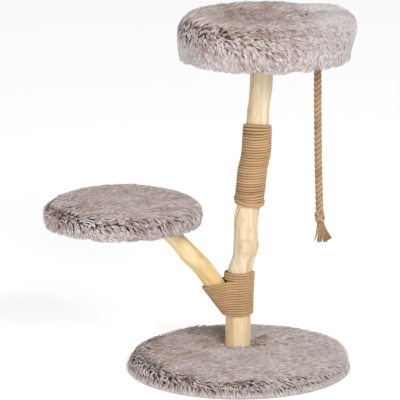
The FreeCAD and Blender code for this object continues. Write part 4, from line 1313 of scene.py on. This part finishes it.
def bed_edge(spots):
    return np.where(spots[:, 2] < lid, bed_low.z - 0.004 + notched(spots, 0.012), 0.0)


def bed_fit(points):
    reach = bed_high.x - bed_x
    right = held((points[:, 0] - bed_x) / reach)
    tapered = reach - 0.001 - 0.019 * right * held((0.785 - points[:, 2]) / 0.05)
    return drawn_in(points, bed_middle, tapered, lid, 0.45 - 0.3 * right * (points[:, 1] > bed_y))


def bed_open(spots):
    """Where the tufts stand apart: over the left of the side, above the hanging fringe."""
    left = held((bed_x + 0.06 - spots[:, 0]) / 0.08)
    out = apart(spots, bed_middle) > bed_reach - 0.03
    patchy = held(0.5 + ragged(spots * 0.8) / 0.008)
    hanging = spots[:, 2] < 0.775
    return (0.9 * left * out * held((spots[:, 2] - 0.765) / 0.015) + 0.75 * out * hanging
            + 0.2 * (1 - left * out) * (spots[:, 2] > 0.775) * patchy)


def bed_tone_and_painted_light(spots, faces):
    right = (spots[:, 0] - bed_x) / bed_reach
    # painted light: the pile is paler towards the lit right, and at the far left against its shade
    tone = 0.56 + 0.40 * held(right) + 0.1 * held(-0.5 - right) / 0.5
    low = in_fringe(spots)
    upright = held((0.75 - faces[:, 2]) / 0.4)
    hollow = apart(spots, bed_middle) < bolster_inner
    hanging = (0.10 - 0.17 * right - 0.08 * hill(right / 0.5)) * low
    # painted light and shade: paler in the shaded hollow, darker on the top except towards its right,
    # and on the sides paler to the left and darker in the middle, with the hanging fringe darker towards
    # the right
    return (tone + 0.12 * hollow - 0.15 * (1 - upright) * held(1.1 - 1.8 * held(right))
            + upright * (hanging + 0.06 * (1 - low) * (right < -0.2)
                         - 0.05 * (1 - low) * hill((right - 0.1) / 0.4)))


bed_profile = [(bed_reach + 0.0014, bed_low.z + 0.0035), (bed_reach + 0.0022, bed_low.z + 0.008),
               (bed_reach + 0.0022, lid - 0.030),
               (bed_reach - 0.0006, lid - 0.0136), (bed_reach - 0.009, lid - 0.0026),
               (bed_reach - 0.022, lid + 0.0014), (bolster_inner + 0.016, lid + 0.0014),
               (bolster_inner + 0.004, lid - 0.0028), (bolster_inner - 0.0020, lid - 0.014),
               (bolster_inner - 0.0024, floor_level + 0.006),
               (bolster_inner - 0.012, floor_level + 0.0014), (0.001, floor_level + 0.0014)]
bed_fur = furred(["bed_fur_a", "bed_fur_b", "bed_fur_c", "bed_fur_d"], bed_middle, bed_profile, 72000,
                 bed_comb, bed_rise, bed_length, bed_tone_and_painted_light, 23, bed_edge, bed_fit, bed_open)
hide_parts("top_plush_cover")
